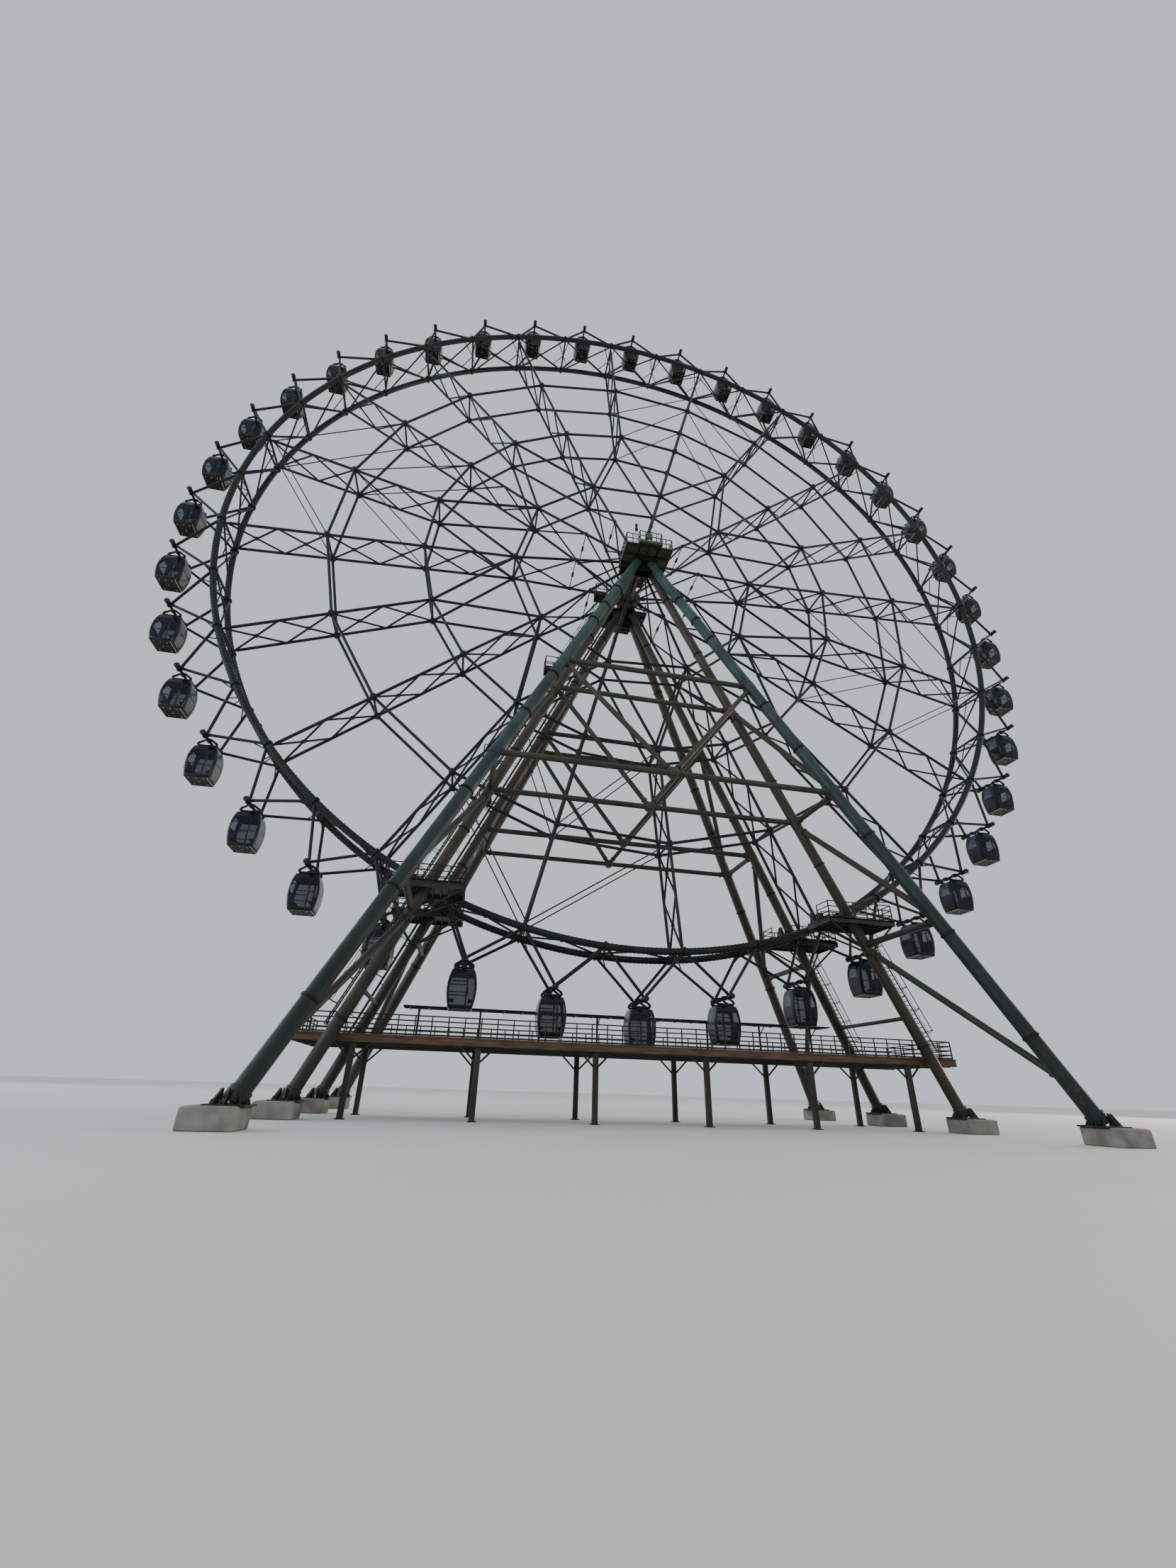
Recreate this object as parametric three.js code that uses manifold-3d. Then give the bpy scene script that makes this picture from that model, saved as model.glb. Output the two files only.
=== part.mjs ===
// A large ferris wheel as a model at 1:10, in millimetres, +Z up.
// The origin is on the ground straight below the hub, and the axle runs along Y.
import * as THREE from "three";
import { mergeVertices } from "three/addons/utils/BufferGeometryUtils.js";
import Module from "manifold-3d";

const wasm = await Module();
wasm.setup();

// Driving dimensions: real metres times the model's millimetres for each of them
const m = 100;
const gap = 0.3; // between pieces that bear on each other

// Wheel: angles are from the bottom, turning towards -X
const hubHeight = 46 * m;
const restTurn = -0.2; // degrees that the wheel has turned past its first cabin
const cabinCount = 40;
const spokeCount = 20;
const pivotRadius = 38.7 * m;
const rimRadius = 35.58 * m;
const ringOffset = 1.7 * m; // from the middle plane to each rim ring
const ringHalf = 0.24 * m; // half the depth of a ring's section
const postRadius = 35.42 * m;
const postTube = 0.1 * m;
const chordOffset = 1.33 * m; // from the middle plane to each spoke plane
const chordWidth = 0.24 * m;
const tieWidth = 0.12 * m;
const outerNodes = 27.5 * m;
const middleNodes = 19.45 * m;
const innerNodes = 11.45 * m;
const spokeStart = restTurn + 31.5; // degrees, the first spoke
const spokeStep = 360 / spokeCount;
const bracedFrom = 4; // the first spoke with diagonals to its neighbours
const bracedEvery = 5;
const hubRingRadius = 1.15 * m;
const hubRingWidth = 0.4 * m;
const hubRingOffset = 2.2 * m; // the spoke planes spread from their inner nodes to the hub rings
const innerChordTube = 0.17 * m; // to the corners of its square section
const tieRods = { radius: 5.95 * m, tube: 0.065 * m }; // between the two spreading chords of a spoke
const bracketTube = 0.11 * m;
const bracketApex = { radius: 38.6 * m, offset: 1.27 * m, lap: 0.04 * m }; // two bars cross here
const shaftRadius = 0.1 * m;
const shaftSides = 6;
const shaftHalf = 1.2 * m; // it ends inside the knobs
const knob = { radius: 0.18 * m, from: 1.14 * m, to: 1.78 * m };

// Cabin, measured from the shaft that it hangs on
const roofDrop = 0.55 * m;
const cabinHeight = 2.38 * m;
const waistBulge = 0.2 * m;
const taperHeight = 0.8 * m;
const roofHalf = { x: 0.74 * m, y: 0.66 * m };
const hanger = {
  half: 0.52 * m, // along the shaft
  footHalf: 0.62 * m,
  foot: -0.68 * m,
  kneeHalf: 0.52 * m,
  knee: -0.2 * m,
  crownHalf: 0.16 * m,
  crown: 0.2 * m,
  sill: -0.6 * m,
  sillHalf: 0.46 * m,
  lintel: -0.32 * m,
  lintelHalf: 0.38 * m,
};

// Axle
const axleRadius = 0.45 * m;
const axleHalf = 4 * m;
const drumRadius = 0.55 * m;
const axleSides = 20;
const junctionBox = { x: [0.12 * m, 0.95 * m], y: [-0.65 * m, 0.35 * m], z: [-0.4 * m, 0.6 * m] };
const hubRingSides = spokeCount / 2;
const flangeRadius = (hubRingRadius - hubRingWidth / 2) * Math.cos(Math.PI / hubRingSides) - gap;

// Tower: each side has an outer and an inner pair of legs that meet at the hub
const legSpread = 0.445; // outwards along X for each metre down
const outerLeg = { top: 3.24 * m, lean: 0.2229, radius: 0.4 * m };
const innerLeg = { top: 2.98 * m, lean: 0.027, radius: 0.36 * m };
const legSides = 8;
const beamRadius = 0.2 * m;
const veeRadius = 0.18 * m;
const veeDrop = 0.04 * m; // the V meets the lower beam a little under its middle
const braceRadius = 0.15 * m;
const braceStep = 0.32 * m; // a diagonal lands this far from the link beside it
const upperBeam = -16.15 * m; // levels below the hub
const lowerBeam = -25.7 * m;
const lowLink = -34.6 * m;
const footBrace = -43.2 * m;
const lowTie = { level: -39.3 * m, radius: 0.13 * m };
const plinthHalf = 1 * m;
const plinthHeight = 0.8 * m;

// Hub platforms and bearings
const platform = { level: -1.15 * m, thick: 0.16 * m, halfX: 2.1 * m, from: 2.6 * m, to: 5.45 * m };
const bay = { halfX: 1.03 * m, to: 5.9 * m }; // the middle of the platform's front stands forward
const bearing = { halfX: 0.75 * m, from: 2.5 * m, to: 3.85 * m, top: 0.75 * m };

// Drive platforms, where the rim passes the inner legs
const drive = {
  level: -33 * m,
  thick: 0.14 * m,
  inner: 12.3 * m,
  outer: 17.3 * m,
  near: 2.1 * m,
  far: 4.9 * m,
  headHalf: 0.55 * m,
  headReach: 2.02 * m,
  headHeight: 0.9 * m,
};

// Boarding deck and its canopy
const deck = {
  top: 4.28 * m,
  thick: 0.25 * m,
  halfX: 21 * m,
  halfY: 3.4 * m,
  postX: 3.5 * m,
  post: 0.16 * m,
  bracket: 0.3 * m,
};
const canopy = { top: 6.55 * m, thick: 0.14 * m, halfX: 15.5 * m, from: 2 * m, to: 3.4 * m, post: 0.09 * m };

const paint = {
  frame: new THREE.MeshStandardMaterial({ color: 0x5d6b68, roughness: 0.55, metalness: 0.3 }),
  wheel: new THREE.MeshStandardMaterial({ color: 0x515f5f, roughness: 0.5, metalness: 0.3 }),
  cabin: new THREE.MeshStandardMaterial({ color: 0x1c2424, roughness: 0.25, metalness: 0.2 }),
  machine: new THREE.MeshStandardMaterial({ color: 0x6a5b48, roughness: 0.6, metalness: 0.2 }),
  deck: new THREE.MeshStandardMaterial({ color: 0x7a5a40, roughness: 0.7, metalness: 0.0 }),
};

// A closed three.js geometry as a solid that can be joined and cut
function solid(geometry) {
  const bare = geometry.index ? geometry.toNonIndexed() : geometry;
  bare.deleteAttribute("normal");
  bare.deleteAttribute("uv");
  const merged = mergeVertices(bare, 1e-3);
  return new wasm.Manifold(
    new wasm.Mesh({
      numProp: 3,
      vertProperties: merged.attributes.position.array,
      triVerts: new Uint32Array(merged.index.array),
    }),
  );
}

const join = (solids) => solids.reduce((whole, next) => whole.add(next));

function meshOf(name, shape, material) {
  const { vertProperties, triVerts } = shape.getMesh();
  const geometry = new THREE.BufferGeometry();
  geometry.setAttribute("position", new THREE.BufferAttribute(vertProperties, 3));
  geometry.setIndex(new THREE.BufferAttribute(triVerts, 1));
  geometry.computeVertexNormals();
  const mesh = new THREE.Mesh(geometry, material);
  mesh.name = name;
  return mesh;
}

// The corner radius of a bore that clears a shaft of as many sides
const boreRadius = (shaft, sides) => (shaft + gap) / Math.cos(Math.PI / sides);

// A straight bar between two points, with its ends square to it, then turned about the axle's line
function bar(from, to, radius, sides, turn = 0) {
  const along = to.clone().sub(from);
  const geometry = new THREE.CylinderGeometry(radius, radius, along.length(), sides);
  geometry.rotateY(Math.PI / sides);
  geometry.applyQuaternion(
    new THREE.Quaternion().setFromUnitVectors(new THREE.Vector3(0, 1, 0), along.clone().normalize()),
  );
  const middle = from.clone().add(to).multiplyScalar(0.5);
  geometry.translate(middle.x, middle.y, middle.z);
  return solid(geometry.rotateY(THREE.MathUtils.degToRad(turn)));
}

function block(x0, x1, y0, y1, z0, z1) {
  const geometry = new THREE.BoxGeometry(x1 - x0, y1 - y0, z1 - z0);
  return solid(geometry.translate((x0 + x1) / 2, (y0 + y1) / 2, (z0 + z1) / 2));
}

// A flat outline in X and Z, given thickness around the plane at y
function plate(shape, y, thick) {
  const geometry = new THREE.ExtrudeGeometry(shape, { depth: thick, bevelEnabled: false });
  geometry.rotateX(Math.PI / 2);
  return solid(geometry.translate(0, y + thick / 2, 0));
}

// The same with holes through it
function pierced(outline, holes, y, thick) {
  const cuts = holes.map((hole) => plate(new THREE.Shape(hole), y, 2 * thick));
  return plate(new THREE.Shape(outline), y, thick).subtract(join(cuts));
}

// A point of the wheel in its own plane, and the same point at a place along the axle
function onWheel(radius, degrees) {
  const angle = THREE.MathUtils.degToRad(degrees);
  return new THREE.Vector2(-radius * Math.sin(angle), -radius * Math.cos(angle));
}

function inSpace(radius, degrees, y) {
  const p = onWheel(radius, degrees);
  return new THREE.Vector3(p.x, y, p.y);
}

// A closed outline moved sideways by a distance, inwards when it runs anticlockwise
function shifted(points, distance) {
  return points.map((p, i) => {
    const before = points[(i + points.length - 1) % points.length];
    const after = points[(i + 1) % points.length];
    const a = p.clone().sub(before).normalize();
    const b = after.clone().sub(p).normalize();
    const na = new THREE.Vector2(-a.y, a.x);
    const nb = new THREE.Vector2(-b.y, b.x);
    const mitre = na.clone().add(nb).normalize();
    return p.clone().addScaledVector(mitre, distance / mitre.dot(nb));
  });
}

function inset(points, distance) {
  const anticlockwise = THREE.ShapeUtils.area(points) > 0;
  return shifted(anticlockwise ? points : [...points].reverse(), distance);
}

const spokes = [...Array(spokeCount).keys()];
const oddSpokes = spokes.filter((i) => i % 2 === 1);
const spokeAngle = (i) => spokeStart + spokeStep * i;
const isBraced = (i) => (((i - bracedFrom) % bracedEvery) + bracedEvery) % bracedEvery === 0;

// One plane of the spoke lattice from the inner polygon to the outer one: a plate with its bays cut out
function latticePlane(y) {
  const outer = (i) => onWheel(outerNodes, spokeAngle(i));
  const middle = (i) => onWheel(middleNodes, spokeAngle(i));
  const inner = (i) => onWheel(innerNodes, spokeAngle(i));
  const bays = [];
  for (const i of spokes) {
    bays.push([outer(i), outer(i + 1), middle(i + 1), middle(i)]);
    if (i % 2 === 1) {
      bays.push([middle(i), middle(i + 1), inner(i)], [middle(i), middle(i - 1), inner(i)]);
      bays.push([middle(i + 1), inner(i + 2), inner(i)]);
    }
  }
  bays.push(oddSpokes.map(inner));
  const edge = inset(spokes.map(outer), -chordWidth / 2);
  return pierced(edge, bays.map((corners) => inset(corners, chordWidth / 2)), y, chordWidth);
}

// The hub ring of one side with the chords that spread to it from the inner nodes
function hubChords(side) {
  const corners = (radius) => oddSpokes.map((i) => onWheel(radius, spokeAngle(i)));
  const [outline, bore] = [1, -1].map((way) => corners(hubRingRadius + (way * hubRingWidth) / 2));
  const pieces = [pierced(outline, [bore], side * hubRingOffset, chordWidth)];
  for (const i of oddSpokes) {
    const start = inSpace(hubRingRadius, spokeAngle(i), side * hubRingOffset);
    pieces.push(bar(start, inSpace(innerNodes, spokeAngle(i), side * chordOffset), innerChordTube, 4));
  }
  return join(pieces);
}

// A flat bar of the lattice between two points of one plane
function strip(from, to, y, width) {
  const side = to.clone().sub(from).normalize();
  const across = new THREE.Vector2(-side.y, side.x).multiplyScalar(width / 2);
  const corners = [[from, -1], [to, -1], [to, 1], [from, 1]];
  const outline = corners.map(([end, way]) => end.clone().addScaledVector(across, way));
  return plate(new THREE.Shape(outline), y, width);
}

function spokeLattice() {
  const pieces = [];
  // the chords end square against the flat sides of the rim's cross posts
  const tip = postRadius - postTube * Math.SQRT1_2 - gap;
  for (const side of [-1, 1]) {
    const y = side * chordOffset;
    pieces.push(latticePlane(y), hubChords(side));
    for (let i = 0; i < spokeCount; i++) {
      const node = onWheel(outerNodes, spokeAngle(i));
      pieces.push(strip(node, onWheel(tip, spokeAngle(i)), y, chordWidth));
      if (!isBraced(i)) continue;
      const start = onWheel(tip - chordWidth, spokeAngle(i));
      for (const next of [-1, 1]) {
        pieces.push(strip(start, onWheel(outerNodes, spokeAngle(i + next)), y, tieWidth));
        pieces.push(strip(node, onWheel(middleNodes, spokeAngle(i + next)), y, tieWidth));
      }
    }
  }
  for (let i = 0; i < spokeCount; i++) {
    const rings = i % 2 === 1 ? [outerNodes, middleNodes, innerNodes] : [outerNodes, middleNodes];
    for (const r of rings) {
      pieces.push(
        bar(inSpace(r, spokeAngle(i), -chordOffset), inSpace(r, spokeAngle(i), chordOffset), postTube, 4),
      );
    }
  }
  const spread = (innerNodes - tieRods.radius) / (innerNodes - hubRingRadius);
  const rodHalf = chordOffset + (hubRingOffset - chordOffset) * spread;
  for (const i of oddSpokes) {
    const [start, end] = [-rodHalf, rodHalf].map((y) => inSpace(tieRods.radius, spokeAngle(i), y));
    pieces.push(bar(start, end, tieRods.tube, 4));
  }
  return join(pieces);
}

// A quarter of the wheel's disc, with its straight edges drawn back by half a gap
function quarter(from) {
  const back = (gap / 2) * Math.SQRT2;
  const tip = onWheel(back, from + 45);
  const outline = [tip, onWheel(2 * rimRadius, from).add(tip), onWheel(2 * rimRadius, from + 90).add(tip)];
  return plate(new THREE.Shape(inset(outline, 0)), 0, 4 * ringOffset);
}

// Both rim rings, their cross posts, and the bracket bars with the shafts and knobs that the cabins hang on
function rimSolid() {
  const step = 360 / cabinCount;
  const cabinAngle = (k) => restTurn + step * k;
  const nodes = [...Array(cabinCount).keys()].map((k) => onWheel(rimRadius, cabinAngle(k + 0.5)));
  const [outside, inside] = [-1, 1].map((way) => inset(nodes, way * ringHalf));
  const pieces = [-1, 1].map((side) => pierced(outside, [inside], side * ringOffset, 2 * ringHalf));
  const onShaft = (y, degrees = 0) => inSpace(pivotRadius, degrees, y);
  const onPost = (y) => inSpace(postRadius, 0, y);
  for (let k = 0; k < cabinCount; k++) {
    const turn = cabinAngle(k);
    pieces.push(bar(onPost(-ringOffset), onPost(ringOffset), postTube, 4, turn + step / 2));
    // the shafts stand level, as the bores in the cabins do
    pieces.push(bar(onShaft(-shaftHalf, turn), onShaft(shaftHalf, turn), shaftRadius, shaftSides));
    for (const side of [-1, 1]) {
      for (const way of [-1, 1]) {
        const apex = inSpace(bracketApex.radius, 0, side * (bracketApex.offset + way * bracketApex.lap));
        pieces.push(bar(inSpace(rimRadius, (way * step) / 2, side * ringOffset), apex, bracketTube, 4, turn));
      }
      pieces.push(bar(onShaft(side * knob.from), onShaft(side * knob.to), knob.radius, shaftSides, turn));
    }
  }
  return join(pieces);
}

// One cabin with its hanger, around the shaft that it hangs on
function cabinSolid() {
  const corners = [[1, 1], [-1, 1], [-1, -1], [1, -1]];
  const plan = new THREE.Shape(corners.map(([x, y]) => new THREE.Vector2(x * roofHalf.x, y * roofHalf.y)));
  const body = new THREE.ExtrudeGeometry(plan, {
    depth: cabinHeight - 2 * taperHeight,
    bevelThickness: taperHeight,
    bevelSize: waistBulge,
    bevelSegments: 1,
  });
  body.translate(0, 0, taperHeight - roofDrop - cabinHeight);
  const mirrored = (side) =>
    [...side, ...side.map(([x, z]) => [-x, z]).reverse()].map(([x, z]) => new THREE.Vector2(x, z));
  const { footHalf, foot, kneeHalf, knee, crownHalf, crown, sill, sillHalf, lintel, lintelHalf } = hanger;
  const arch = new THREE.Shape(mirrored([[footHalf, foot], [kneeHalf, knee], [crownHalf, crown]]));
  arch.holes.push(new THREE.Path(mirrored([[lintelHalf, lintel], [sillHalf, sill]])));
  const bore = new THREE.Path();
  const hole = boreRadius(shaftRadius, shaftSides);
  for (let i = 0; i < shaftSides; i++) {
    const angle = Math.PI / 6 - (i * 2 * Math.PI) / shaftSides;
    const point = [hole * Math.cos(angle), hole * Math.sin(angle)];
    if (i === 0) bore.moveTo(...point);
    else bore.lineTo(...point);
  }
  arch.holes.push(bore);
  return solid(body).add(plate(arch, 0, 2 * hanger.half));
}

// The axle with its drum, the two flanges that the hub rings seat on and the box on the drum's side
function axleSolid() {
  const inner = hubRingOffset - chordWidth / 2;
  const outer = hubRingOffset + chordWidth / 2;
  const profile = [
    [0, -axleHalf], [axleRadius, -axleHalf], [axleRadius, -outer], [flangeRadius, -outer],
    [flangeRadius, -inner], [drumRadius, -inner], [drumRadius, inner], [flangeRadius, inner],
    [flangeRadius, outer], [axleRadius, outer], [axleRadius, axleHalf], [0, axleHalf],
  ].map(([r, y]) => new THREE.Vector2(r, y));
  const box = block(...junctionBox.x, ...junctionBox.y, ...junctionBox.z);
  return solid(new THREE.LatheGeometry(profile, axleSides)).add(box);
}

// A point on a leg's centre line at a level below the hub
function onLeg(leg, left, near, level) {
  return new THREE.Vector3(left * legSpread * -level, near * (leg.top - leg.lean * level), level);
}

function legBar(leg, left, near, extra) {
  const foot = onLeg(leg, left, near, -hubHeight + plinthHeight / 2);
  return bar(onLeg(leg, left, near, 0), foot, leg.radius + extra, legSides);
}

// One pair of legs with their beams, the V between the beams and their plinths
function legFrame(leg, near) {
  const pieces = [];
  const mid = onLeg(leg, 1, near, lowerBeam - veeDrop).setX(0);
  for (const left of [-1, 1]) {
    pieces.push(legBar(leg, left, near, 0));
    pieces.push(bar(onLeg(leg, left, near, upperBeam - veeDrop), mid, veeRadius, 6));
    const foot = onLeg(leg, left, near, -hubHeight);
    pieces.push(
      block(
        foot.x - plinthHalf, foot.x + plinthHalf, foot.y - plinthHalf, foot.y + plinthHalf,
        -hubHeight, -hubHeight + plinthHeight,
      ),
    );
  }
  for (const level of [upperBeam, lowerBeam]) {
    pieces.push(bar(onLeg(leg, -1, near, level), onLeg(leg, 1, near, level), beamRadius, 6));
  }
  return join(pieces);
}

// Links and diagonals from the outer legs to the inner ones
function sideBraces(near) {
  const pieces = [];
  for (const left of [-1, 1]) {
    const runs = [
      [lowerBeam, lowerBeam],
      [lowLink, lowLink],
      [lowerBeam + braceStep, upperBeam],
      [lowLink + braceStep, lowerBeam - braceStep],
      [footBrace, lowLink - braceStep],
    ];
    for (const [outerLevel, innerLevel] of runs) {
      pieces.push(
        bar(onLeg(outerLeg, left, near, outerLevel), onLeg(innerLeg, left, near, innerLevel), braceRadius, 5),
      );
    }
  }
  return join(pieces);
}

function twoLegs(leg, near) {
  return join([-1, 1].map((left) => legBar(leg, left, near, gap)));
}

// The tie between the near and far inner legs of one side, low down
function lowTies() {
  const { level, radius } = lowTie;
  return join(
    [-1, 1].map((left) => bar(onLeg(innerLeg, left, -1, level), onLeg(innerLeg, left, 1, level), radius, 6)),
  );
}

// The platform around one bearing, with the middle of its front standing forward
function hubPlatform(near) {
  const under = platform.level - platform.thick;
  const slab = (half, start, end) => {
    const [y0, y1] = [near * start, near * end].sort((a, b) => a - b);
    return block(-half, half, y0, y1, under, platform.level);
  };
  return slab(platform.halfX, platform.from, platform.to).add(slab(bay.halfX, platform.from, bay.to));
}

const wholeTower = new THREE.Group();
const sides = [["near", -1], ["far", 1]];
const legTop = platform.level - platform.thick - gap;
const above = block(-10 * m, 10 * m, -10 * m, 10 * m, legTop, 10 * m);
for (const [word, near] of sides) {
  const outerFrame = legFrame(outerLeg, near)
    .add(sideBraces(near).subtract(twoLegs(innerLeg, near)))
    .subtract(above);
  const ownTies = near < 0 ? lowTies().subtract(twoLegs(innerLeg, 1)) : null;
  const legsOnly = legFrame(innerLeg, near).subtract(twoLegs(outerLeg, near)).subtract(above);
  const innerFrame = ownTies ? legsOnly.add(ownTies) : legsOnly;
  wholeTower.add(meshOf(word + "_outer_frame", outerFrame, paint.frame));
  wholeTower.add(meshOf(word + "_inner_frame", innerFrame, paint.frame));

  wholeTower.add(meshOf(word + "_hub_platform", hubPlatform(near), paint.frame));
  const [start, end] = [near * bearing.from, near * bearing.to].sort((a, b) => a - b);
  const bearingBore = boreRadius(axleRadius, axleSides);
  const [boreStart, boreEnd] = [start - m, end + m].map((y) => new THREE.Vector3(0, y, 0));
  const bore = bar(boreStart, boreEnd, bearingBore, axleSides);
  const housing = block(-bearing.halfX, bearing.halfX, start, end, platform.level + gap, bearing.top);
  wholeTower.add(meshOf(word + "_bearing", housing.subtract(bore), paint.machine));

  for (const [hand, left] of [["left", -1], ["right", 1]]) {
    const [x0, x1] = [left * drive.inner, left * drive.outer].sort((a, b) => a - b);
    const [y0, y1] = [near * drive.near, near * drive.far].sort((a, b) => a - b);
    const floor = block(x0, x1, y0, y1, drive.level - drive.thick, drive.level);
    const headX = left * (drive.inner + drive.headHalf);
    const ends = [near * drive.headReach, near * (drive.near + drive.headHalf * 2)];
    const [h0, h1] = ends.sort((a, b) => a - b);
    const head = block(
      headX - drive.headHalf, headX + drive.headHalf, h0, h1,
      drive.level - drive.thick, drive.level + drive.headHeight,
    );
    const whole = floor.add(head).subtract(twoLegs(innerLeg, near));
    wholeTower.add(meshOf(word + "_" + hand + "_drive", whole, paint.machine));
  }
}
wholeTower.position.z = hubHeight;

const wheel = new THREE.Group();
wheel.position.z = hubHeight;
wheel.add(meshOf("rim", rimSolid(), paint.wheel));
wheel.add(meshOf("axle", axleSolid(), paint.machine));
const lattice = spokeLattice();
["left", "top", "right", "bottom"].forEach((word, i) => {
  const from = spokeStart + spokeStep / 2 + 90 * i;
  wheel.add(meshOf("spokes_" + word, lattice.intersect(quarter(from)), paint.wheel));
});
const cabinShape = cabinSolid();
for (let k = 0; k < cabinCount; k++) {
  const cabin = meshOf("cabin_" + String(k + 1).padStart(2, "0"), cabinShape, paint.cabin);
  cabin.position.copy(inSpace(pivotRadius, restTurn + (360 / cabinCount) * k, 0));
  wheel.add(cabin);
}

// The boarding deck on its posts, with brackets to the inner legs, and the canopy along its far side
function boardingDeck() {
  const pieces = [block(-deck.halfX, deck.halfX, -deck.halfY, deck.halfY, deck.top - deck.thick, deck.top)];
  for (let x = -5 * deck.postX; x <= 5 * deck.postX; x += 2 * deck.postX) {
    for (const side of [-1, 1]) {
      const y = side * (deck.halfY - 2 * deck.post);
      const top = deck.top - deck.thick / 2;
      pieces.push(block(x - deck.post, x + deck.post, y - deck.post, y + deck.post, 0, top));
    }
  }
  const legs = [];
  for (const near of [-1, 1]) {
    legs.push(twoLegs(innerLeg, near).translate([0, 0, hubHeight]));
    for (const left of [-1, 1]) {
      const leg = onLeg(innerLeg, left, near, deck.top - hubHeight);
      const [y0, y1] = [near * (deck.halfY - deck.bracket), leg.y].sort((a, b) => a - b);
      pieces.push(block(leg.x - deck.bracket, leg.x + deck.bracket, y0, y1, deck.top - deck.thick, deck.top));
    }
  }
  return join(pieces).subtract(join(legs));
}

function boardingCanopy() {
  const { halfX, from, to, top, thick } = canopy;
  const pieces = [block(-halfX, halfX, from, to, top - thick, top)];
  const posts = 8;
  const half = canopy.post;
  const y = to - 2 * half;
  for (let i = 0; i < posts; i++) {
    const x = (halfX - m) * ((2 * i) / (posts - 1) - 1);
    pieces.push(block(x - half, x + half, y - half, y + half, deck.top + gap, top - thick / 2));
  }
  return join(pieces);
}

const station = new THREE.Group();
station.add(meshOf("boarding_deck", boardingDeck(), paint.deck));
station.add(meshOf("boarding_canopy", boardingCanopy(), paint.frame));

const ferrisWheel = new THREE.Group();
ferrisWheel.add(wholeTower, wheel, station);

export default ferrisWheel;
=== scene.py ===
import math

import bmesh
import bpy
from mathutils import Matrix, Vector


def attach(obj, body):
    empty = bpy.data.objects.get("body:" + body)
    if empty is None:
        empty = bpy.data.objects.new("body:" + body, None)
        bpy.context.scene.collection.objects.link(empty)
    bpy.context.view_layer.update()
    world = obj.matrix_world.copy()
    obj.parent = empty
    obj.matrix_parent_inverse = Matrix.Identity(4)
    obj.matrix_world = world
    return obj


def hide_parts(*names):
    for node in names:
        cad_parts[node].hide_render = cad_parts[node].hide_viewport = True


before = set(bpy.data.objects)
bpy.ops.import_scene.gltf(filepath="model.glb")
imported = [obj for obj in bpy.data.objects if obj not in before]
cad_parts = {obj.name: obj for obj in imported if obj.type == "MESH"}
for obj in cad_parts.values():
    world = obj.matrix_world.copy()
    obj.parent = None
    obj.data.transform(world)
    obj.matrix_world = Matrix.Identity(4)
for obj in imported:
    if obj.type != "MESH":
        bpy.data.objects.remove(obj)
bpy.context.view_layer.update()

# Pieces are built in metres of the real wheel with the hub at the origin, then brought to the model's size
modelScale = 0.1
hubHeight = 46.0
toModel = Matrix.Translation((0, 0, hubHeight * modelScale)) @ Matrix.Scale(modelScale, 4)

# The wheel, its angles from the bottom towards -X
wheel = {
    "restTurn": -0.2,
    "cabins": 40,
    "pivotRadius": 38.7,
    "rimRadius": 35.58,
    "ringOffset": 1.7,
    "postRadius": 35.42,
    "chordOffset": 1.33,
    "outerNodes": 27.5,
    "middleNodes": 19.45,
    "innerNodes": 11.45,
    "hubRing": 1.15,
    "hubOffset": 2.2,
    "firstSpoke": 31.3,
    "spokeStep": 18.0,
}
bay = 360 / wheel["cabins"]


def onWheel(radius, degrees, y=0.0):
    angle = math.radians(degrees)
    return Vector((-radius * math.sin(angle), y, -radius * math.cos(angle)))


def span(middle, half):  # the two ends of a range about its middle
    return middle - half, middle + half


# Camera at the photograph's viewing angle
view = {
    "location": (-1.1883, -4.16, 0.169),
    "yaw": 10.651,
    "pitch": 26.153,
    "roll": 1.774,
    "lens": 13.846,
    "shift": (0.0018, 0.0073),
}


def addCamera():
    yaw, pitch, roll = (math.radians(view[name]) for name in ("yaw", "pitch", "roll"))
    forward = Vector((math.sin(yaw) * math.cos(pitch), math.cos(yaw) * math.cos(pitch), math.sin(pitch)))
    level = Vector((math.cos(yaw), -math.sin(yaw), 0))
    up = level.cross(forward)
    right = level * math.cos(roll) + up * math.sin(roll)
    top = up * math.cos(roll) - level * math.sin(roll)
    data = bpy.data.cameras.new("camera")
    data.lens = view["lens"]
    data.sensor_fit = "VERTICAL"
    data.sensor_height = 36
    data.shift_x, data.shift_y = view["shift"]
    data.clip_start = 0.01
    data.clip_end = 200
    camera = bpy.data.objects.new("camera", data)
    turn = Matrix((right, top, -forward)).transposed().to_4x4()
    camera.matrix_world = Matrix.Translation(view["location"]) @ turn
    bpy.context.scene.collection.objects.link(camera)
    bpy.context.scene.camera = camera


addCamera()
print("camera placed")


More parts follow.
